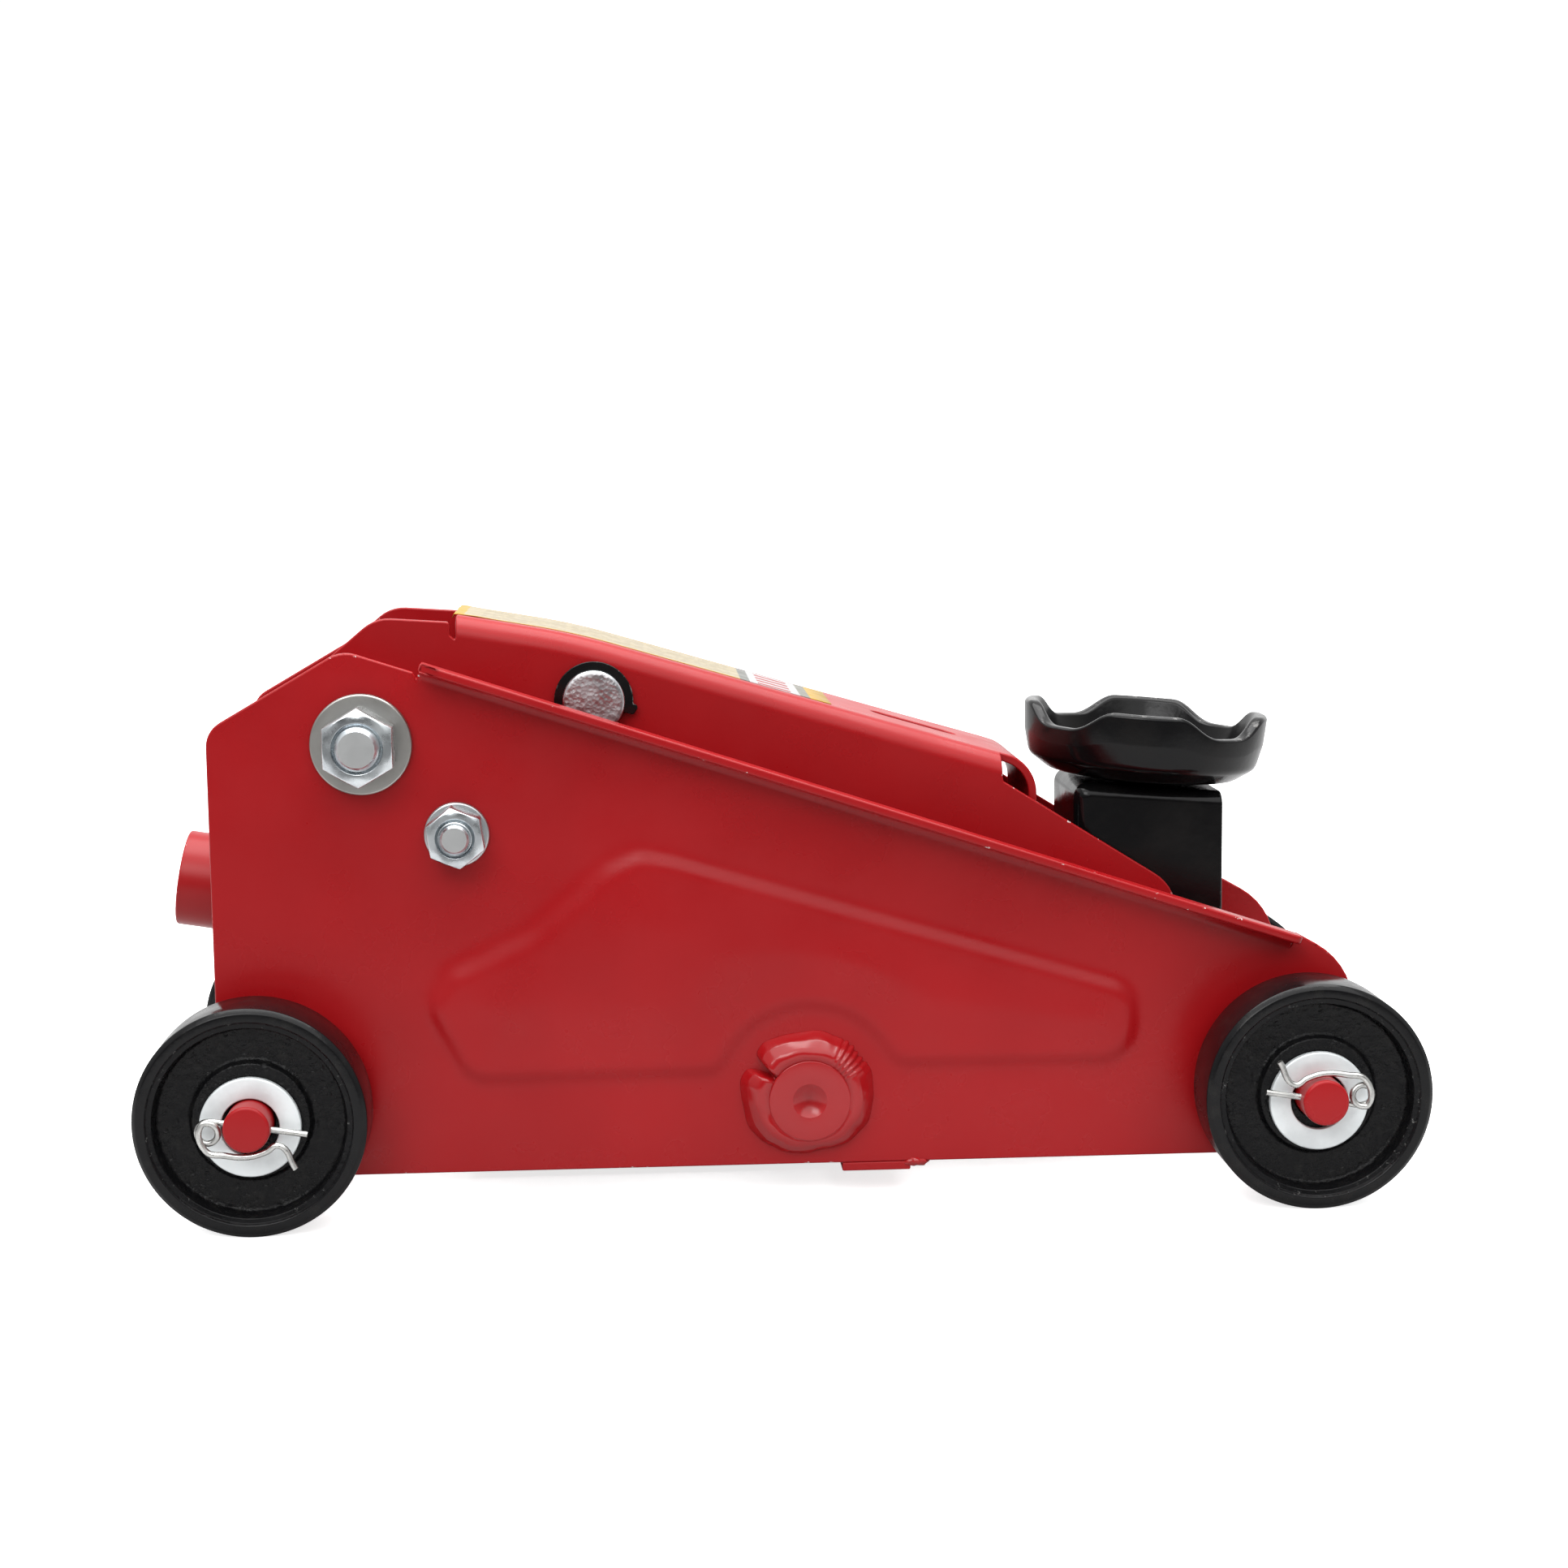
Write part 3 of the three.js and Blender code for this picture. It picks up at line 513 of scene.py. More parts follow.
def label_film(name):
    """Printed film: cream field with faint print, a yellow border, grey bands, a white and red
    block and a yellow end block, all plain shapes."""
    film = Finish(name, Specular_IOR_Level=0.3)
    x, y = film.axis(0), film.axis(1)

    def band(value, low, high):
        above = film.maths("GREATER_THAN", value, low * MM)
        below = film.maths("LESS_THAN", value, high * MM)
        return film.maths("MULTIPLY", above, below)

    def stripes(pitch, limit):
        wave = film.maths("SINE", film.maths("MULTIPLY", y, pitch))
        return film.maths("GREATER_THAN", wave, limit)

    words = film.maths("GREATER_THAN", film.grain(420, 1, stretch=(1, 0.25, 0)), 0.47)
    printed = film.maths("MULTIPLY", band(x, -106, -16), band(y, -19, 19))
    printed = film.maths("MULTIPLY", film.maths("MULTIPLY", stripes(2100.0, 0.1), words), printed)
    inside = film.maths("MULTIPLY", band(y, -23.2, 23.2), band(x, -112, 40))
    layers = (
        (film.maths("MULTIPLY", printed, 0.45), (0.13, 0.10, 0.065)),
        (film.maths("SUBTRACT", 1.0, inside), (0.42, 0.22, 0.012)),
        (band(x, -12.5, -9), (0.13, 0.13, 0.12)),
        (band(x, -9, 9.3), (0.36, 0.36, 0.36)),
        (film.maths("MULTIPLY", stripes(560.0, 0.05), band(x, -6, 6)), (0.26, 0.010, 0.012)),
        (band(x, 9.3, 13), (0.16, 0.155, 0.13)),
        (band(x, 13, 30), (0.42, 0.25, 0.015)),
    )
    colour = (0.31, 0.26, 0.165)
    for share, ink in layers:
        colour = film.mix(share, colour, ink)
    film.look(Base_Color=colour, Roughness=film.drift(120, 3, 0.32, 0.46))
    film.bump((film.grain(300, 2), 0.00002))
    return film.material


ENAMEL = [red_enamel("red enamel"), red_enamel("red enamel rim", chips=True)]
WELD = red_enamel("weld enamel", gloss=0.15, specular=0.5)
BLACK_ENAMEL = [black_enamel("black enamel"), black_enamel("black enamel rim", chips=True)]
CASTING = [cast_black("cast black"), gloss_black("gloss black rim"),
           cast_black("worn casting edge", chips=True)]
BRIGHT = zinc("bright zinc", (0.66, 0.70, 0.72), (0.50, 0.53, 0.56), 0.24)
DULL = zinc("dull zinc", (0.52, 0.52, 0.50), (0.38, 0.38, 0.37), 0.40)
SPRING = zinc("spring wire", (0.60, 0.60, 0.58), (0.42, 0.42, 0.41), 0.28, mottle=200.0)
HAMMERED = hammered("hammered pin")
OILED = oiled_steel("oiled steel")
PLUG = moulded_plug("plug")
LABEL = label_film("label film")


# ---- side plates --------------------------------------------------------------------------

FLANGE_ALONG = (FLANGE_END - FLANGE_START).normalized()
FLANGE_UP = Vector((-FLANGE_ALONG.y, FLANGE_ALONG.x))
FOLD_RADIUS = 4.0

PANEL = outline(
    (-127.5, 72.5, 11), (-112.5, 44.3, 12), (-24, 45.2, 9),
    arc(TRUNNION, 31.2, 152, 36, 6),
    (39, 46.9, 9), (126.5, 46.3, 14), (127.0, 74.6, 12), (-50.5, 128.4, 9), (-64.5, 124.2, 14),
    (-91.5, 101.2, 20), (-121.0, 87.5, 9), step=12,
)


def panel_depth(x, z):
    """Distance from a point to the stamped panel's outline, positive inside it."""
    point = Vector((x, z))
    inside = False
    nearest = 1e9
    for i, (x1, z1) in enumerate(PANEL):
        x0, z0 = PANEL[i - 1]
        if (z0 > z) != (z1 > z) and x < (x1 - x0) * (z - z0) / (z1 - z0) + x0:
            inside = not inside
        start, run = Vector((x0, z0)), Vector((x1 - x0, z1 - z0))
        share = min(1.0, max(0.0, (point - start).dot(run) / max(run.length_squared, 1e-9)))
        nearest = min(nearest, (point - start - run * share).length)
    return nearest if inside else -nearest


def panel_rise(x, z):
    """How far the stamped panel stands out: a shoulder, wider at the upper rear, and a crown."""
    depth = panel_depth(x, z)
    wide = smoothstep(-35, -70, x) * smoothstep(68, 88, z) if depth > 0 else 0
    shoulder = 1.9 * smoothstep(-1.0, 4.6 + 6.0 * wide, depth)
    return shoulder + 0.9 * smoothstep(0.0, 30.0, depth)


def side_plate(word, side):
    start = FLANGE_START - FLANGE_UP * (SHEET + FOLD_RADIUS)
    end = FLANGE_END - FLANGE_UP * (SHEET + FOLD_RADIUS)
    web = outline(
        (-200, PLATE_BOTTOM, 14), (-200, 171.5, 10), (-152.4, 198.9, 12),
        (-127.9, 190.9, 1.0), tuple(start), tuple(end), (183.6, 92.6), (205, 80.4, 27),
        (205, PLATE_BOTTOM, 14),
    )
    bm = fill([
        web, circle(REAR_AXLE, 8.3), circle(FRONT_AXLE, 8.3), circle(ARM_PIVOT, 8.3),
        circle(LINK_PIVOT, 6.3), circle(TRUNNION, TRUNNION_RADIUS + GAP),
    ])
    # A fine grid only where the panel is stamped, so that the rims stay clean.
    low, high, pitch = Vector((-133, 38)), Vector((132, 135)), 2.0
    for axis, normal in ((0, (1, 0, 0)), (1, (0, 0, 1))):
        steps = int((high[axis] - low[axis]) / pitch)
        for i in range(steps + 1):
            cut = low[axis] + i * pitch
            where = (cut, 0, 0) if axis == 0 else (0, 0, cut)
            other = 1 - axis
            faces = [f for f in bm.faces
                     if max(v.co[2 * other] for v in f.verts) > low[other] + 0.01
                     and min(v.co[2 * other] for v in f.verts) < high[other] - 0.01
                     and min(v.co[2 * axis] for v in f.verts) < cut
                     and max(v.co[2 * axis] for v in f.verts) > cut]
            geom = list({item for f in faces for item in (f, *f.edges, *f.verts)})
            bmesh.ops.bisect_plane(bm, geom=geom, dist=1e-4, plane_co=where, plane_no=normal)
    for vert in bm.verts:
        if low.x < vert.co.x < high.x and low.y < vert.co.z < high.y:
            vert.co.y -= panel_rise(vert.co.x, vert.co.z)
    on_slope = edges_between(bm, lambda co: abs((co.xz - start).dot(FLANGE_UP)) < 0.02
                             and start.x - 0.1 < co.x < end.x + 0.1)
    up = Vector((FLANGE_UP.x, 0, FLANGE_UP.y))
    fold(bm, on_slope, lambda co: up, (0, -1, 0), FOLD_RADIUS, 6,
         run=FLANGE_OUTER - PLATE_OUTER - FOLD_RADIUS)
    tips = [v for v in bm.verts if v.co.y < PLATE_OUTER - FLANGE_OUTER + 0.01
            and (v.co.x < FLANGE_START.x + 1 or v.co.x > FLANGE_END.x - 3)]
    bmesh.ops.bevel(bm, geom=tips, offset=2.2, offset_type="OFFSET", segments=4, profile=0.5,
                    affect="VERTICES", material=-1)
    face_towards(bm, (0, -1, 0))
    bmesh.ops.translate(bm, vec=(0, -PLATE_OUTER, 0), verts=bm.verts[:])
    if side > 0:
        move(bm, MIRROR)
    return piece(f"pressed_side_plate_{word}", bm, ENAMEL, "frame", f"side_plate_{word}",
                 sheet=SHEET, rim=0.7, rim_steps=2)


def weld_bead(word, side):
    """Hand-laid bead round the trunnion: smooth below, rippled above, lapped at the upper rear."""
    face = PLATE_OUTER
    root, toe = 14.6, 23.2
    bm = turned(closed((14.2, face - 1.0), (toe + 0.5, face - 1.0), (toe + 0.1, face + 0.5, 0.5),
                       (21.2, face + 4.0, 2.5), (18.4, face + 6.8, 3.0), (14.2, face + 7.9),
                       step=9), 240)
    # Each lap is an angle as seen on the right side, a width in degrees and a reach: rear is at
    # 180 degrees, up at 90.
    laps = ((128, 13, 1.8), (164, 12, 1.6), (147, 4.0, -8.5), (196, 20, 0.6), (85, 24, 0.2),
            (278, 40, -2.8), (20, 18, 0.5))
    for vert in bm.verts:
        radius = math.hypot(vert.co.x, vert.co.z)
        if radius < root:
            continue
        angle = math.degrees(math.atan2(vert.co.z, vert.co.x)) % 360
        grow = sum(size * math.exp(-(((angle - at + 180) % 360 - 180) / width) ** 2)
                   for at, width, size in laps)
        rippled = smoothstep(24, 34, angle) * smoothstep(64, 52, angle)
        ripple = math.sin(math.radians(angle * 58 + radius * 9))
        grow += 0.45 * rippled * ripple
        grow += 0.9 * noise.noise(Vector((vert.co.x, vert.co.z, side * 9.0)) * 0.13)
        share = max(0.12, 1 + grow / (toe - root))
        scale = (root + (radius - root) * share) / radius
        vert.co.x *= scale
        vert.co.z *= scale
        if vert.co.y > face:
            reach = smoothstep(root, root + 3, radius)
            vert.co.y = face + (vert.co.y - face) * (1 - reach * 0.55 * max(0.0, 1 - share))
            vert.co.y += reach * (0.35 * noise.noise(Vector((vert.co.x, vert.co.z, 3.0)) * 0.2)
                                  + 0.3 * rippled * ripple)
    move(bm, across(TRUNNION))
    return piece(f"trunnion_weld_{word}", on_side(bm, side), WELD, "frame",
                 crisp=False)


def frame_pieces():
    for word, side in SIDES:
        side_plate(word, side)
        weld_bead(word, side)
    end = PLATE_OUTER + 8
    half = [(TRUNNION_RADIUS, end, 0.5), (6.1, end, 0.15)]
    profile = open_profile((0, -end + 5.6), *[(r, -y, f) for r, y, f in reversed(half)],
                           *half, (0, end - 5.6), step=18)
    piece("trunnion", move(turned(profile, 96), across(TRUNNION)), WELD, "frame",
          "trunnion_shaft")
    cross_bar()
    for word, place in (("rear", REAR_AXLE), ("front", FRONT_AXLE)):
        sleeve = eased_ring(8.3, 11, -SLEEVE_END, SLEEVE_END, 0.4, 0.4, 64)
        piece(f"{word}_axle_sleeve", move(sleeve, across(place)), ENAMEL[0], "frame",
              f"{word}_axle_tube")


def cross_bar():
    """Flat bar under the plates, with a ragged tack of weld at its front corners."""
    bar = [(20.2, PLATE_BOTTOM), (44.7, PLATE_BOTTOM), (44.7, 9.3), (20.2, 9.3)]
    bm = slab(bar, -PLATE_OUTER, PLATE_OUTER)
    piece("cross_bar", bm, ENAMEL, "frame", "bottom_cross_bar", rim=0.5)
    for word, side in SIDES:
        tack = bmesh.new()
        bmesh.ops.create_uvsphere(tack, u_segments=28, v_segments=18, radius=1.0)
        bmesh.ops.scale(tack, vec=(5.2, 3.4, 1.9), verts=tack.verts[:])
        for vert in tack.verts:
            vert.co *= 1 + 0.28 * noise.noise(vert.co * 0.6 + Vector((side, 0, 0)))
        bmesh.ops.translate(tack, vec=(46.6, side * 60.6, 12.2), verts=tack.verts[:])
        piece(f"cross_bar_tack_{word}", tack, WELD, "frame", crisp=False)


# ---- running gear -------------------------------------------------------------------------

def wheel(word, side, end, place):
    rim = 95.9
    profile = closed(
        (8.3, 63.8, 0.4), (17, 63.8, 1.0), (17.5, 75, 1.5), (31, 76, 1.5), (33.5, 71, 0.8),
        (38.5, 71, 0.6), (40, 72.5, 0.8), (40, rim - 1.5, 0.9), (38.4, rim, 0.9),
        (35.6, rim, 0.7), (34.9, rim - 0.9, 0.4), (33.2, rim - 1.1, 0.5), (32.2, 88.9, 1.4),
        (21.2, 88.2, 1.6), (20, 91, 0.8), (8.3, 91, 0.4), step=18,
    )
    bm = turned(profile, 160)
    for face in bm.faces:
        centre = face.calc_center_median()
        radius = math.hypot(centre.x, centre.z)
        if radius > 35.6:
            face.material_index = 1
        elif 33.0 < radius <= 35.6 and centre.y > 90:
            face.material_index = 2
    move(bm, across(place))
    piece(f"cast_wheel_{end}_{word}", on_side(bm, side), CASTING, f"{end}_wheel_{word}_body",
          f"{end}_wheel_{word}")


def clip(word, side, end, place):
    """Spring R-clip of round wire: a straight leg, one coil, and a leg that hugs the axle."""
    mirror = 1 if end == "rear" else -1
    lift = 2 * CLIP_WIRE + GAP
    points = [(20, -3.2, 0), (10, -1.6, 0), (0, 0, 0), (-8, 1.3, 0)]
    for i in range(13):
        angle = math.pi / 2 + i / 12 * math.pi * 2.15
        points.append((-13.5 + 3.6 * math.cos(angle), -1.6 + 3.6 * math.sin(angle), lift * i / 12))
    points += [(x, z, lift) for x, z in
               ((-14, -7.6), (-8, -9.2), (0, -9.9), (6, -8.4), (10.5, -6.2), (16, -14.5))]
    curve = bpy.data.curves.new(f"spring_clip_{end}_{word}", "CURVE")
    curve.dimensions = "3D"
    curve.bevel_depth = CLIP_WIRE * MM
    curve.bevel_resolution = 4
    curve.resolution_u = 8
    curve.use_fill_caps = True
    spline = curve.splines.new("BEZIER")
    spline.bezier_points.add(len(points) - 1)
    for knot, (x, z, out) in zip(spline.bezier_points, points):
        knot.co = Vector((place[0] + mirror * x, side * (CLIP_PLANE + out),
                          place[1] + mirror * z)) * MM
        knot.handle_left_type = knot.handle_right_type = "AUTO"
    curve.materials.append(SPRING)
    obj = bpy.data.objects.new(curve.name, curve)
    bpy.context.scene.collection.objects.link(obj)
    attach(obj, "frame")
    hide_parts(f"{end}_wheel_clip_{word}")


def running_gear():
    for end, place in (("rear", REAR_AXLE), ("front", FRONT_AXLE)):
        profile = open_profile((0, -104), (8, -104, 1.1), (8, 104, 1.1), (0, 104), step=18)
        piece(f"{end}_axle_bar", move(turned(profile, 64), across(place)), ENAMEL[0], "frame",
              f"{end}_axle")
        loose = (place[0], place[1] - 1.6)
        washer_face = faced(f"{end} washer zinc", (0.80, 0.84, 0.85), loose, 0.45, metallic=0.45)
        for word, side in SIDES:
            wheel(word, side, end, place)
            ring = turned(closed((10, 91.4, 0.3), (17.4, 91.4, 0.5), (17.4, 93.8, 0.7),
                                 (10, 93.8, 0.4)), 96)
            ring = on_side(move(ring, across(loose)), side)
            piece(f"loose_washer_{end}_{word}", ring, washer_face, "frame",
                  f"{end}_wheel_washer_{word}")
            clip(word, side, end, place)


# ---- bolts --------------------------------------------------------------------------------

def hexagon_reach(angle, flats, turn):
    """Distance from the middle to a hexagon's side, for an angle in degrees."""
    return flats / 2 / math.cos(math.radians((angle - turn + 30) % 60 - 30))


def hex_body(flats, seat, top, bore, turn=0.0, washer_face=False):
    """Nut or bolt head: a turned blank whose outside is drawn out to a hexagon, with its corners
    chamfered by the same 30 degree cone as a real one. turn is the angle of one flat."""
    inner = flats / 2 * 0.95
    outer = flats / math.sqrt(3)
    if bore:
        profile = [(bore, seat), (inner, seat), (outer, seat), (outer, top), (inner, top),
                   (bore + 1.1, top), (bore, top - 1.1), (bore, seat)]
    else:
        profile = [(0, seat), (inner, seat), (outer, seat), (outer, top), (inner, top), (0, top)]
    bm = turned(profile, 96)
    spread = math.tan(math.radians(30))
    for vert in bm.verts:
        radius = math.hypot(vert.co.x, vert.co.z)
        if radius > outer - 0.01:
            angle = math.degrees(math.atan2(vert.co.z, vert.co.x))
            reach = hexagon_reach(angle, flats, turn)
            vert.co.x *= reach / radius
            vert.co.z *= reach / radius
            drop = max(0.0, reach - inner) * spread
            if vert.co.y > (seat + top) / 2:
                vert.co.y -= drop
            elif not washer_face:
                vert.co.y += drop
    return bm


def threaded_end(radius, seat, end, pitch):
    """Bolt end with its thread crests, a chamfer and a flat face, from inside a nut outwards."""
    profile = []
    y = seat
    while y < end - 1.4 - pitch:
        crest = radius - 0.1
        profile += [(radius - 1.0, y), (crest, y + pitch * 0.42), (crest, y + pitch * 0.58)]
        y += pitch
    profile += [(radius - 1.0, y), (radius - 0.25, y + pitch * 0.4), (radius - 0.4, end - 1.6),
                (radius - 1.7, end), (0, end)]
    return profile


def bolt(prefix, place, radius, flats, washer, washer_radius, nut, head, turn, washer_colour):
    face = PLATE_OUTER + GAP
    seat = face + washer + GAP
    end = seat + nut + 3
    ring_face = faced(f"{prefix} washer face", washer_colour, place, 0.36)
    end_face = faced(f"{prefix} bolt end", (0.56, 0.57, 0.57), place, 0.42)
    # Shank from the head on the left to the threaded end on the right.
    profile = [(0, -seat - head + 3), (radius, -seat - head + 3), (radius, seat - 1)]
    profile += threaded_end(radius, seat - 1, end, 2.0 if radius > 7 else 1.75)
    shank = turned(profile, 72)
    for item in shank.faces:
        centre = item.calc_center_median()
        if centre.y > end - 0.2:
            item.material_index = 1
    move(shank, MIRROR)
    top = hex_body(flats, seat, seat + head, 0, turn, washer_face=True)
    copy_into(shank, top)
    move(shank, across(place))
    piece(f"{prefix}_bolt_body", shank, [BRIGHT, end_face], "frame", f"{prefix}_bolt")
    body = hex_body(flats, seat, seat + nut, radius - 0.2, turn)
    move(body, MIRROR)
    move(body, across(place))
    piece(f"{prefix}_hex_nut", body, BRIGHT, "frame", f"{prefix}_nut", rim=0.25, rim_angle=40)
    for word, side in SIDES:
        bore, top = radius + GAP, face + washer
        ring = turned(closed((bore, face, 0.2), (washer_radius, face, 0.3),
                             (washer_radius, top, 0.8), (bore, top, 0.4)), 96)
        ring = on_side(move(ring, across(place)), side)
        piece(f"{prefix}_flat_washer_{word}", ring, ring_face, "frame",
              f"{prefix}_washer_{word}")


# ---- lift arm -----------------------------------------------------------------------------

ARM_OUTER = 35.0
COVER = ((-114.4, 208.5), (-74.0, 201.5), (82.0, 155.3))
COVER_FOLD = 7.5
KINK_STATIONS = (-88, -84.5, -81, -77.5, -74, -70.5, -67, -63.5, -60)
LIP = {"x": 80.3, "z": 140.2, "outer": 15.0, "end": 133.0, "half_width": 24.5}


def cover_height(x):
    """Top of the cover, with its kink eased over a few centimetres."""
    (x0, z0), (x1, z1), (x2, z2) = COVER
    rear, front = (z1 - z0) / (x1 - x0), (z2 - z1) / (x2 - x1)
    ease = 14.0
    if x < x1 - ease:
        return z0 + rear * (x - x0)
    if x > x1 + ease:
        return z1 + front * (x - x1)
    share = (x - x1 + ease) / (2 * ease)
    return z1 - rear * ease + 2 * ease * (rear * share + (front - rear) * share * share / 2)


def lift_arm():
    stations = [COVER[0][0], *KINK_STATIONS, -30, 0, 30, 56, COVER[2][0]]
    flat = ARM_OUTER - COVER_FOLD
    drop = COVER_FOLD * 1.04
    chain = [(x, cover_height(x) - drop) for x in stations]
    cheek_line = outline(
        (-143, 208.2, 14), (-116.9, 206.4, 1.2), (-116.5, 201.6, 0.9),
        (chain[0][0] - 0.5, chain[0][1] - 0.6, 0.3), chain, (82.3, 145.4, 1.2),
        arc(ARM_TIP, 17, 58, -104.3, 8),
        (-78.5, 128.3, 10), (-100.5, 143.1, 10), (-122, 147.4),
        arc(ARM_PIVOT, 26, -52, -200, 8), (-159.5, 194.4),
    )
    bm = fill([cheek_line, circle(ARM_PIVOT, 13.3, 64), circle(RAM_PIN, 11.5, 64),
               circle(ARM_TIP, 8.3)])
    bmesh.ops.translate(bm, vec=(0, -ARM_OUTER, 0), verts=bm.verts[:])
    rim = edges_between(bm, lambda co: any((co.xz - Vector(at)).length < 0.01 for at in chain))
    fold(bm, rim, lambda co: Vector((0, 0, 1.04)), (0, 1, 0), COVER_FOLD, 9)
    other = bm.copy()
    move(other, MIRROR)
    copy_into(bm, other)
    # The flat of the cover, with its slot, drawn in plan.
    slot = outline(arc((64, 0), 5, -90, 90, 15), arc((42, 0), 5, 90, 270, 15))
    plan = [(x, -flat) for x in stations] + [(x, flat) for x in reversed(stations)]
    cover = fill([plan, slot], lambda x, y: (x, y, 0), (0, 0, 1))
    for x in stations[1:-1]:
        geom = cover.verts[:] + cover.edges[:] + cover.faces[:]
        bmesh.ops.bisect_plane(cover, geom=geom, dist=1e-4, plane_co=(x, 0, 0), plane_no=(1, 0, 0))
    for vert in cover.verts:
        vert.co.z = cover_height(vert.co.x)
    copy_into(bm, cover)
    # The front of the cover curls down between the cheeks.
    bmesh.ops.remove_doubles(bm, verts=bm.verts[:], dist=0.02)
    front = edges_between(bm, lambda co: abs(co.x - COVER[2][0]) < 0.05 and co.z > 155.0)
    curl(bm, front)
    bmesh.ops.remove_doubles(bm, verts=bm.verts[:], dist=0.02)
    bmesh.ops.recalc_face_normals(bm, faces=bm.faces[:])
    top = max(bm.faces, key=lambda f: f.calc_center_median().z)
    if top.normal.z < 0:
        bmesh.ops.reverse_faces(bm, faces=bm.faces[:])
    return piece("folded_lift_arm", bm, ENAMEL, "arm", "lift_arm", sheet=SHEET, rim=0.6)


def curl(bm, edges):
    """Rolls the cover's front edge down about the lip's centre, then on straight."""
    start = Vector((84.6, cover_height(84.6)))
    path = [start, *[Vector(p) for p in arc((LIP["x"], LIP["z"]), LIP["outer"], 73.5, 0, 7)][1:],
            Vector((LIP["x"] + LIP["outer"], LIP["end"]))]
    here = Vector((COVER[2][0], cover_height(COVER[2][0])))
    for point in path:
        verts, edges = grow_rim(bm, edges)
        step = point - here
        bmesh.ops.translate(bm, vec=(step.x, 0, step.y), verts=verts)
        here = point


def cover_label():
    """Film label, laid over the cover and hanging a little over its rear edge."""
    stations = [-114.2, -108, -100, -94, *KINK_STATIONS, -50, -30, -10, 10, 20.6]
    bm = bmesh.new()
    lift = 0.16
    # It turns down a little behind the cover's rear edge.
    steps = [(-116.2, -1.6), (-115.6, -0.1), *[(x, lift) for x in stations]]
    path = [Vector((x, 0, cover_height(x) + rise)) for x, rise in steps]
    verts = [bm.verts.new(point + Vector((0, -24.6, 0))) for point in path]
    edges = [bm.edges.new(pair) for pair in zip(verts, verts[1:])]
    for _ in range(12):
        moved, edges = grow_rim(bm, edges)
        bmesh.ops.translate(bm, vec=(0, 49.2 / 12, 0), verts=moved)
    for vert in bm.verts:
        loose = smoothstep(-96, -116, vert.co.x)
        waves = noise.noise(Vector((vert.co.y * 0.11, vert.co.x * 0.08, 2.0)))
        vert.co.z += 0.5 * loose * (0.5 + waves)
    face_towards(bm, (0, 0, 1))
    piece("cover_label", bm, LABEL, "arm", sheet=0.12)


def ram_pin():
    end = 41.5
    half = [(10.2, 36.1), (10.2, 38.1), (11.2, 38.1, 0.2), (11.2, end, 1.6), (0, end - 0.5)]
    back = [(entry[0], -entry[1], *entry[2:]) for entry in reversed(half)]
    bm = turned(open_profile(*back, (11.2, -36.1), (11.2, 36.1), *half, step=18), 96)
    for item in bm.faces:
        centre = item.calc_center_median()
        if abs(centre.y) > end - 0.52 and math.hypot(centre.x, centre.z) < 10.4:
            item.material_index = 1
    piece("ram_cross_pin", move(bm, across(RAM_PIN)), [BRIGHT, HAMMERED], "arm", "ram_pin")


def arm_pieces():
    lift_arm()
    cover_label()
    ram_pin()
    pivot = eased_ring(8.3, 13, -SLEEVE_END, SLEEVE_END, 0.4, 0.4, 72)
    piece("arm_pivot_sleeve", move(pivot, across(ARM_PIVOT)), ENAMEL[0], "arm", "arm_pivot_tube")
    for name, place, radius, end, body, node in (
            ("bracket_pin", ARM_TIP, 8, 37.2, "arm", "saddle_bracket_pin"),
            ("link_pin", LINK_TIP, 6, 45.5, "links", "link_front_pin")):
        profile = open_profile((0, -end), (radius, -end, 0.9), (radius, end, 0.9), (0, end))
        piece(name, move(turned(profile, 64), across(place)), DULL, body, node)
    for word, side in SIDES:
        ring = outline(
            arc((0, 0), 14.2, -24, -296, 8), (7.6, 14.6, 1.2), (9.9, 11.4, 1.0),
            arc((0, 0), 10.5, -314, -6, 8), (13.4, -2.2, 1.0), (15.6, -4.4, 1.2),
        )
        bm = slab(ring, 36.4, 37.8)
        move(bm, across(RAM_PIN) @ Matrix.Rotation(math.radians(69), 4, "Y"))
        piece(f"retaining_ring_{word}", on_side(bm, side), BLACK_ENAMEL, "arm",
              f"ram_pin_ring_{word}", rim=0.3)
        bar = outline(arc(LINK_PIVOT, 11, 75.7, 255.7), arc(LINK_TIP, 11, 255.7, 435.7))
        bm = slab(bar, 38, 43, [circle(LINK_PIVOT, 6.3), circle(LINK_TIP, 6.3)])
        piece(f"parallel_bar_{word}", on_side(bm, side), BLACK_ENAMEL, "links",
              f"link_bar_{word}", rim=0.6)
        spacer = eased_ring(6.3, 10, 43.4, SLEEVE_END, 0.3, 0.4, 64)
        piece(f"bolt_spacer_{word}", on_side(move(spacer, across(LINK_PIVOT)), side), DULL, "frame",
              f"link_spacer_{word}")


# ---- saddle and bracket -------------------------------------------------------------------

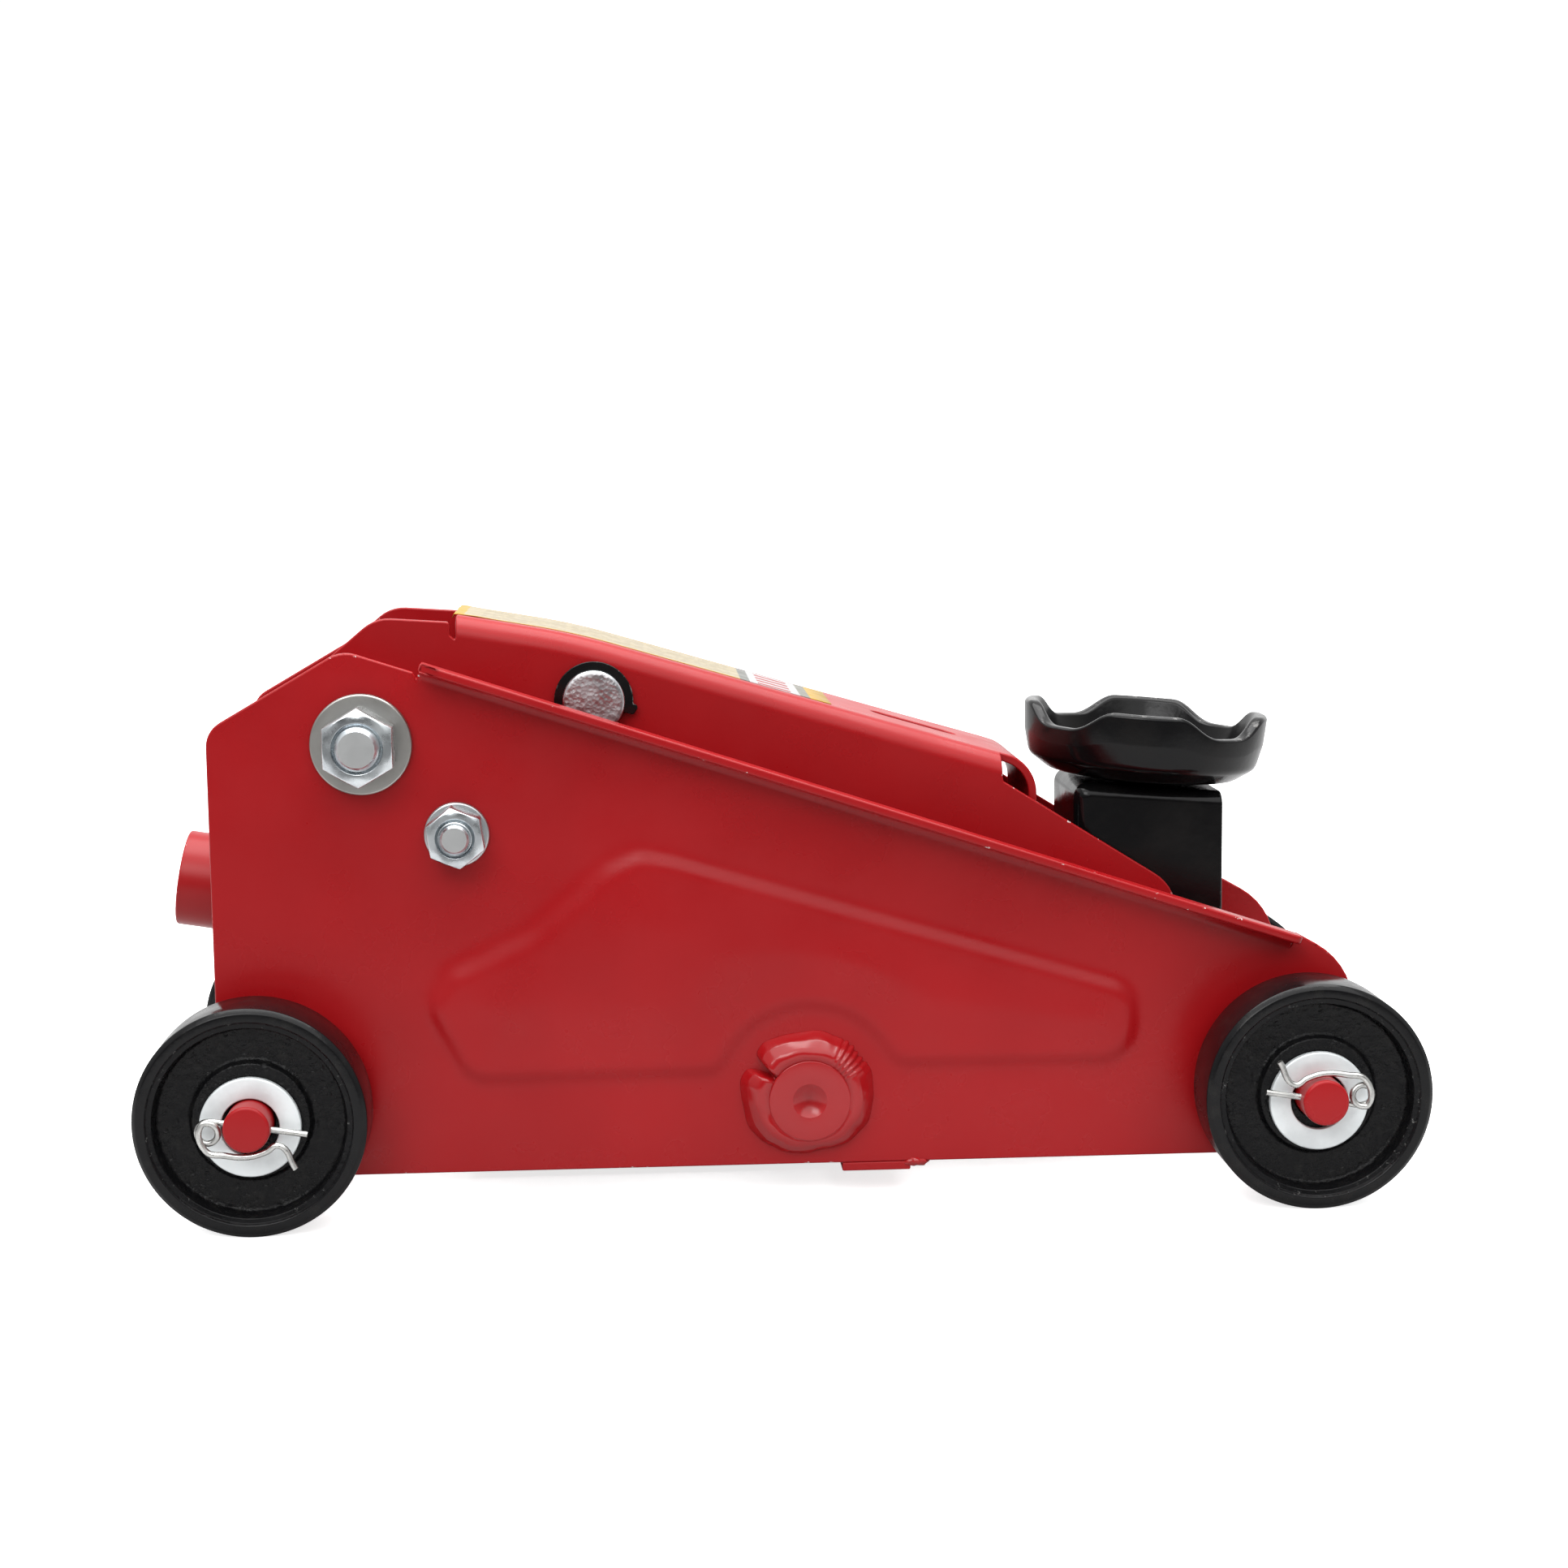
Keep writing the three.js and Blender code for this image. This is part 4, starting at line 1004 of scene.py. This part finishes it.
def bracket():
    """Folded box bracket: cheeks, roof and rear wall with rounded folds."""
    rear, front, half, fold_radius = BRACKET_REAR, 164.4, 28.0, 5.0
    tight = 0.6
    fold_start = BRACKET_TOP - fold_radius
    corner = Vector((rear + fold_radius + tight, 0, fold_start - tight))
    cheek = outline(
        (rear + fold_radius, 112), arc(corner.xz, tight, 180, 90, 15), (front, fold_start),
        (front, 92, 20),
        arc(LINK_TIP, 12, 10, -120), (rear + 1.5, 84, 10), (rear + 1.5, 109, 1),
    )
    bm = fill([cheek, circle(ARM_TIP, 8.3), circle(LINK_TIP, 6.3)])
    bmesh.ops.translate(bm, vec=(0, -half, 0), verts=bm.verts[:])

    def outward(co):
        flat = Vector((min(0.0, co.x - corner.x), 0, max(0.0, co.z - corner.z)))
        return flat.normalized()

    rim = edges_between(bm, lambda co: (co.z > fold_start - 0.01 and co.x > corner.x - 0.01)
                        or (co.x < corner.x + 0.01 and co.z > 111.9 and outward(co).length > 0.5
                            and (co - corner).xz.length > tight - 0.01
                            and (co.z > corner.z or abs(co.x - rear - fold_radius) < 0.01)))
    fold(bm, rim, outward, (0, 1, 0), fold_radius, 6, run=half - fold_radius)
    bmesh.ops.mirror(bm, geom=bm.verts[:] + bm.edges[:] + bm.faces[:], axis="Y", merge_dist=0.01)
    bmesh.ops.remove_doubles(bm, verts=bm.verts[:], dist=0.01)
    bmesh.ops.recalc_face_normals(bm, faces=bm.faces[:])
    top = max(bm.faces, key=lambda f: f.calc_center_median().z)
    if top.normal.z < 0:
        bmesh.ops.reverse_faces(bm, faces=bm.faces[:])
    for vert in bm.verts:
        if vert.co.z > 125:
            vert.co.z -= (vert.co.x - rear) * math.tan(SADDLE_TILT)
    piece("folded_bracket", bm, BLACK_ENAMEL, "saddle_mount", "saddle_bracket",
          sheet=4.0, rim=0.9, rim_steps=3)


def saddle():
    """Cast cup with four flat-topped lobes and smooth scallops between them."""
    profile = open_profile(
        (0, -14.5), (9, -14.5, 0.8), (9, GAP, 0.2), (20, GAP, 0.6), (35, 2.5, 6), (42.5, 7.6, 5),
        (44.6, 16.6, 6), (45.5, SADDLE_TOP, 1.6), (40.6, SADDLE_TOP, 2.2), (38.2, 15.1, 6),
        (33.5, 10.6, 5), (24, 7.1, 6), (0, 7.1), step=12,
    )
    bm = turned(profile, 192)
    base = 9.6

    def rim_height(co):
        lobe = smoothstep(-0.98, 0.5, math.cos(4 * math.atan2(co.x, co.z)))
        return SADDLE_VALLEY + (SADDLE_TOP - SADDLE_VALLEY) * lobe

    for vert in bm.verts:
        radius = math.hypot(vert.co.x, vert.co.z)
        if vert.co.y > base:
            top = rim_height(vert.co)
            share = (vert.co.y - base) / (SADDLE_TOP - base)
            vert.co.y = base + (top - base) * share
            if radius > 30:
                lean = 1 - 0.0022 * (SADDLE_TOP - top) * share
                wobble = 1 + 0.005 * noise.noise(vert.co * 0.06)
                vert.co.x *= lean * wobble
                vert.co.z *= lean * wobble
    for face in bm.faces:
        centre = face.calc_center_median()
        if centre.y > rim_height(centre) - 0.45 and math.hypot(centre.x, centre.z) > 39:
            face.material_index = 1
    move(bm, on_saddle_axis() @ Matrix.Rotation(SADDLE_TURN, 4, "Y"))
    piece("saddle_cup_casting", bm, BLACK_ENAMEL, "saddle_cup", "saddle", crisp=False)
    ring = eased_ring(9.3, 13.5, -8.9, -6.9, 0.3, 0.4, 72)
    piece("stem_clip", move(ring, on_saddle_axis()), SPRING, "saddle_cup", "saddle_clip")


# ---- power unit ---------------------------------------------------------------------------

def return_spring(word, side):
    """Extension coil of round wire, wound at an even pitch along the ram."""
    wire, radius, turns, low, high = 0.9, 5.0, 44, 25.6, 135.0
    bm = bmesh.new()
    bmesh.ops.create_circle(bm, segments=8, radius=wire, cap_ends=True)
    bmesh.ops.translate(bm, vec=(radius, low, 0), verts=bm.verts[:])
    steps = turns * 14
    bmesh.ops.spin(bm, geom=bm.faces[:], cent=(0, 0, 0), axis=(0, 1, 0),
                   dvec=(0, (high - low) / steps, 0),
                   angle=math.tau * turns, steps=steps, use_merge=False)
    bmesh.ops.recalc_face_normals(bm, faces=bm.faces[:])
    move(bm, along_ram(TRUNNION, -34, side * 13))
    obj = piece(f"return_coil_{word}", bm, SPRING, None, f"return_spring_{word}", crisp=False)
    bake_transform(obj)


def ram_head():
    hollow = 60.0
    top = RAM_REACH - 11.2 - 0.5
    cradle = [beside(TRUNNION, top + hollow - math.sqrt(hollow ** 2 - a ** 2), a)
              for a in range(-16, 17, 4)]
    plate = outline(cradle, beside(TRUNNION, 136.3, 16), beside(TRUNNION, 136.3, -42),
                    beside(TRUNNION, 141.3, -42), beside(TRUNNION, 141.3, -17))
    piece("ram_cradle", slab(plate, -21, 21), DULL, "ram_rod", "ram_head", rim=1.0, rim_steps=3)


def power_unit():
    base = outline(
        (*beside(PUMP, -78, -14), 3), beside(PUMP, -78, 13), beside(TRUNNION, 24, -43),
        (*beside(TRUNNION, 24, 30), 3), (33, 40, 8), (30, 14.5, 6), (-122, 14.5, 5),
    )
    bm = slab(base, -28, 28, [circle(TRUNNION, TRUNNION_RADIUS + GAP)])
    piece("cast_base", bm, CASTING[0], "frame", "power_block", rim=2.0, rim_steps=4)
    gland = turned(closed(
        (12.4, 97.4, 0.3), (23.6, 97.4, 0.4), (23.6, 100.3, 0.2), (26.5, 100.3, 0.6),
        (26.5, 109, 1.2), (24, 111.5, 1.0), (17, 111.5, 0.5), (15.4, 110.3, 0.4),
        (12.4, 110.3, 0.3),
    ))
    pump = turned(closed(
        (6.4, -77.7, 0.3), (11, -77.7, 0.5), (11, -40, 0.5), (9.6, -38.6, 0.5), (9.6, -32, 0.8),
        (6.4, -32, 0.5),
    ))
    for name, node, bm, finish, origin in (
            ("reservoir", "reservoir_tube", eased_ring(24, 27, 24.3, 100, 0.3, 0.5),
             BLACK_ENAMEL[0], TRUNNION),
            ("cylinder", "cylinder_tube", eased_ring(14, 17.5, 24.3, 97, 0.3, 0.4),
             OILED, TRUNNION),
            ("gland", "gland_cap", gland, BLACK_ENAMEL[0], TRUNNION),
            ("pump_sleeve", "pump_barrel", pump, OILED, PUMP)):
        piece(name, move(bm, along_ram(origin)), finish, "frame", node)
    rod = open_profile((0, 30), (13.6, 30, 0.4), (13.6, 34, 0.4), (12, 34), (12, 136, 0.6),
                       (0, 136))
    piece("ram_piston_rod", move(turned(rod, 96), along_ram(TRUNNION)), BRIGHT, "ram_rod", "ram")
    plunger = open_profile((0, -66), (6, -66, 0.4), (6, -11.5, 0.6), (9, -11.5, 0.5),
                           (9, -7.5, 0.9), (0, -7.5))
    piece("pump_piston", move(turned(plunger, 64), along_ram(PUMP)), BRIGHT, "plunger",
          "pump_plunger")
    ram_head()
    for word, side in SIDES:
        return_spring(word, side)
    seat_x, seat_z = beside(TRUNNION, 85, 0)
    plug = turned(open_profile((0, 27.3), (5, 27.3, 0.3), (5, 31, 1.0), (0, 31)), 48)
    turn = Matrix(((RAM_X, RAM_Z, 0, 0), (0, 0, 1, 0), (RAM_Z, -RAM_X, 0, 0), (0, 0, 0, 1)))
    piece("oil_plug", move(plug, Matrix.Translation((seat_x, 0, seat_z)) @ turn), PLUG, "frame",
          "filler_plug")
    stem = turned(open_profile((0, 0), (5, 0, 0.3), (5, 19), (0, 19)), 48)
    copy_into(stem, hex_body(15, 18, 28, 0, 0.0))
    back = Matrix(((0, -1, 0, -124.4), (1, 0, 0, 0), (0, 0, 1, 27), (0, 0, 0, 1)))
    piece("release_screw", move(stem, back), BRIGHT, "valve", "release_valve", rim=0.3,
          rim_angle=40)


# ---- handle socket ------------------------------------------------------------------------

def handle_socket():
    """Socket tube with a worn mouth, with its yoke cheeks, sleeve and pump follower."""
    tilt = math.radians(9.4)
    bm = turned(closed((15, 0, 0.5), (17.5, 0, 0.7), (17.5, 55, 0.6), (15, 55, 0.5), step=20), 96)
    for item in bm.faces:
        if item.calc_center_median().y < 0.9:
            item.material_index = 1
    turn = Matrix(((math.sin(tilt), math.cos(tilt), 0, -219.2), (0, 0, 1, 0),
                   (math.cos(tilt), -math.sin(tilt), 0, 110.9), (0, 0, 0, 1)))
    piece("socket_tube", move(bm, turn), ENAMEL, "socket", "handle_socket")
    for word, side in SIDES:
        plate = outline(
            (-192, 120.5, 4), (-150, 121.5, 6), arc(LINK_PIVOT, 11.5, 125, -50), (-136, 102, 10),
            (-152, 88, 8), (-192, 90, 4),
        )
        bm = slab(plate, 18, 22, [circle(LINK_PIVOT, 10.3), circle(PUMP, 4.3, 32)])
        piece(f"yoke_cheek_{word}", on_side(bm, side), ENAMEL, "socket", f"yoke_plate_{word}",
              rim=0.6)
    hub = eased_ring(6.3, 10, -36.5, 36.5, 0.3, 0.5, 64)
    piece("yoke_sleeve", move(hub, across(LINK_PIVOT)), ENAMEL[0], "socket", "yoke_hub")
    roller = open_profile(
        (0, -22.8), (4, -22.8, 0.4), (4, -17.6), (7, -17.6, 0.7), (7, 17.6, 0.7), (4, 17.6),
        (4, 22.8, 0.4), (0, 22.8),
    )
    piece("pump_follower", move(turned(roller, 64), across(PUMP)), SPRING, "socket", "pump_roller")


# ---- studio -------------------------------------------------------------------------------

def studio():
    scene = bpy.context.scene
    # Metres and radians: seen from the right side, a little behind the middle and above.
    place = (-0.05162, -1.01689, 0.26988)
    yaw, pitch, roll = 0.054887, -0.125342, -0.011529
    forward = Vector((math.sin(yaw) * math.cos(pitch), math.cos(yaw) * math.cos(pitch),
                      math.sin(pitch)))
    right = Vector((math.cos(yaw), -math.sin(yaw), 0))
    up = right.cross(forward)
    right, up = (right * math.cos(roll) + up * math.sin(roll),
                 up * math.cos(roll) - right * math.sin(roll))
    lens = bpy.data.cameras.new("camera")
    lens.sensor_width = 36
    lens.lens = 62.91
    lens.clip_start = 0.05
    lens.clip_end = 60
    camera = bpy.data.objects.new("camera", lens)
    scene.collection.objects.link(camera)
    turn = Matrix((right, up, -forward)).transposed().to_4x4()
    camera.matrix_world = Matrix.Translation(place) @ turn
    scene.camera = camera

    bm = bmesh.new()
    bmesh.ops.create_grid(bm, x_segments=1, y_segments=1, size=14)
    mesh = bpy.data.meshes.new("floor")
    bm.to_mesh(mesh)
    bm.free()
    pale = Finish("pale floor", Roughness=0.9, Specular_IOR_Level=0.0, Emission_Color=(1, 1, 1))
    pale.bump((pale.grain(30.0, 2.0), 0.0002))
    seen = pale.node("ShaderNodeLightPath").outputs["Is Camera Ray"]
    # The jack is lit as if it stood on a white sheet that ends a little way in front of it.
    sheet_end = pale.between(pale.axis(1), -0.75, -0.35)
    bounce = pale.mix(sheet_end, (0.15, 0.15, 0.15), (0.5, 0.5, 0.5))
    pale.look(Base_Color=pale.mix(seen, bounce, (0.86, 0.86, 0.86)),
              Emission_Strength=pale.maths("MULTIPLY", seen, 0.75))
    mesh.materials.append(pale.material)
    floor = bpy.data.objects.new("floor", mesh)
    scene.collection.objects.link(floor)

    world = bpy.data.worlds.new("studio")
    world.use_nodes = True
    nodes, links = world.node_tree.nodes, world.node_tree.links
    room = nodes["Background"]
    room.inputs["Color"].default_value = (1, 1, 1, 1)
    # Bright above and behind, dim in front.
    view = nodes.new("ShaderNodeTexCoord").outputs["Generated"]
    share = nodes.new("ShaderNodeVectorMath")
    share.operation = "DOT_PRODUCT"
    links.new(view, share.inputs[0])
    share.inputs[1].default_value = Vector((0, 0.62, 0.78))
    ramp = nodes.new("ShaderNodeMapRange")
    links.new(share.outputs["Value"], ramp.inputs["Value"])
    for key, number in (("From Min", -0.5), ("From Max", 0.9), ("To Min", 0.13), ("To Max", 1.25)):
        ramp.inputs[key].default_value = number
    links.new(ramp.outputs["Result"], room.inputs["Strength"])
    backdrop = nodes.new("ShaderNodeBackground")
    backdrop.inputs["Color"].default_value = (1, 1, 1, 1)
    backdrop.inputs["Strength"].default_value = 1.05
    choose = nodes.new("ShaderNodeMixShader")
    links.new(nodes.new("ShaderNodeLightPath").outputs["Is Camera Ray"], choose.inputs[0])
    links.new(room.outputs[0], choose.inputs[1])
    links.new(backdrop.outputs[0], choose.inputs[2])
    links.new(choose.outputs[0], nodes["World Output"].inputs["Surface"])
    scene.world = world
    scene.view_settings.view_transform = "Standard"

    def softbox(name, place, aim, width, height, power):
        light = bpy.data.lights.new(name, "AREA")
        light.shape = "RECTANGLE"
        light.size, light.size_y = width, height
        light.energy = power
        obj = bpy.data.objects.new(name, light)
        scene.collection.objects.link(obj)
        obj.location = place
        obj.rotation_euler = (Vector(aim) - Vector(place)).to_track_quat("-Z", "Y").to_euler()

    softbox("overhead", (0.0, 0.1, 1.25), (0, 0, 0), 1.5, 1.0, 20)
    softbox("front fill", (-0.8, -1.9, 1.5), (0, 0, 0.08), 1.2, 0.8, 12)
    sky = bpy.data.lights.new("ceiling", "SUN")
    sky.energy = 2.2
    sky.angle = math.radians(80)
    above = bpy.data.objects.new("ceiling", sky)
    scene.collection.objects.link(above)
    above.rotation_euler = (math.radians(33), 0, 0)


studio()
frame_pieces()
running_gear()
bolt("arm_pivot", ARM_PIVOT, 8, 24, 2.8, 17.7, 13, 10, 0.0, (0.40, 0.39, 0.37))
bolt("link_pivot", LINK_PIVOT, 6, 19, 2.2, 11.4, 10, 7.5, 8.0, (0.55, 0.57, 0.58))
arm_pieces()
bracket()
saddle()
power_unit()
handle_socket()
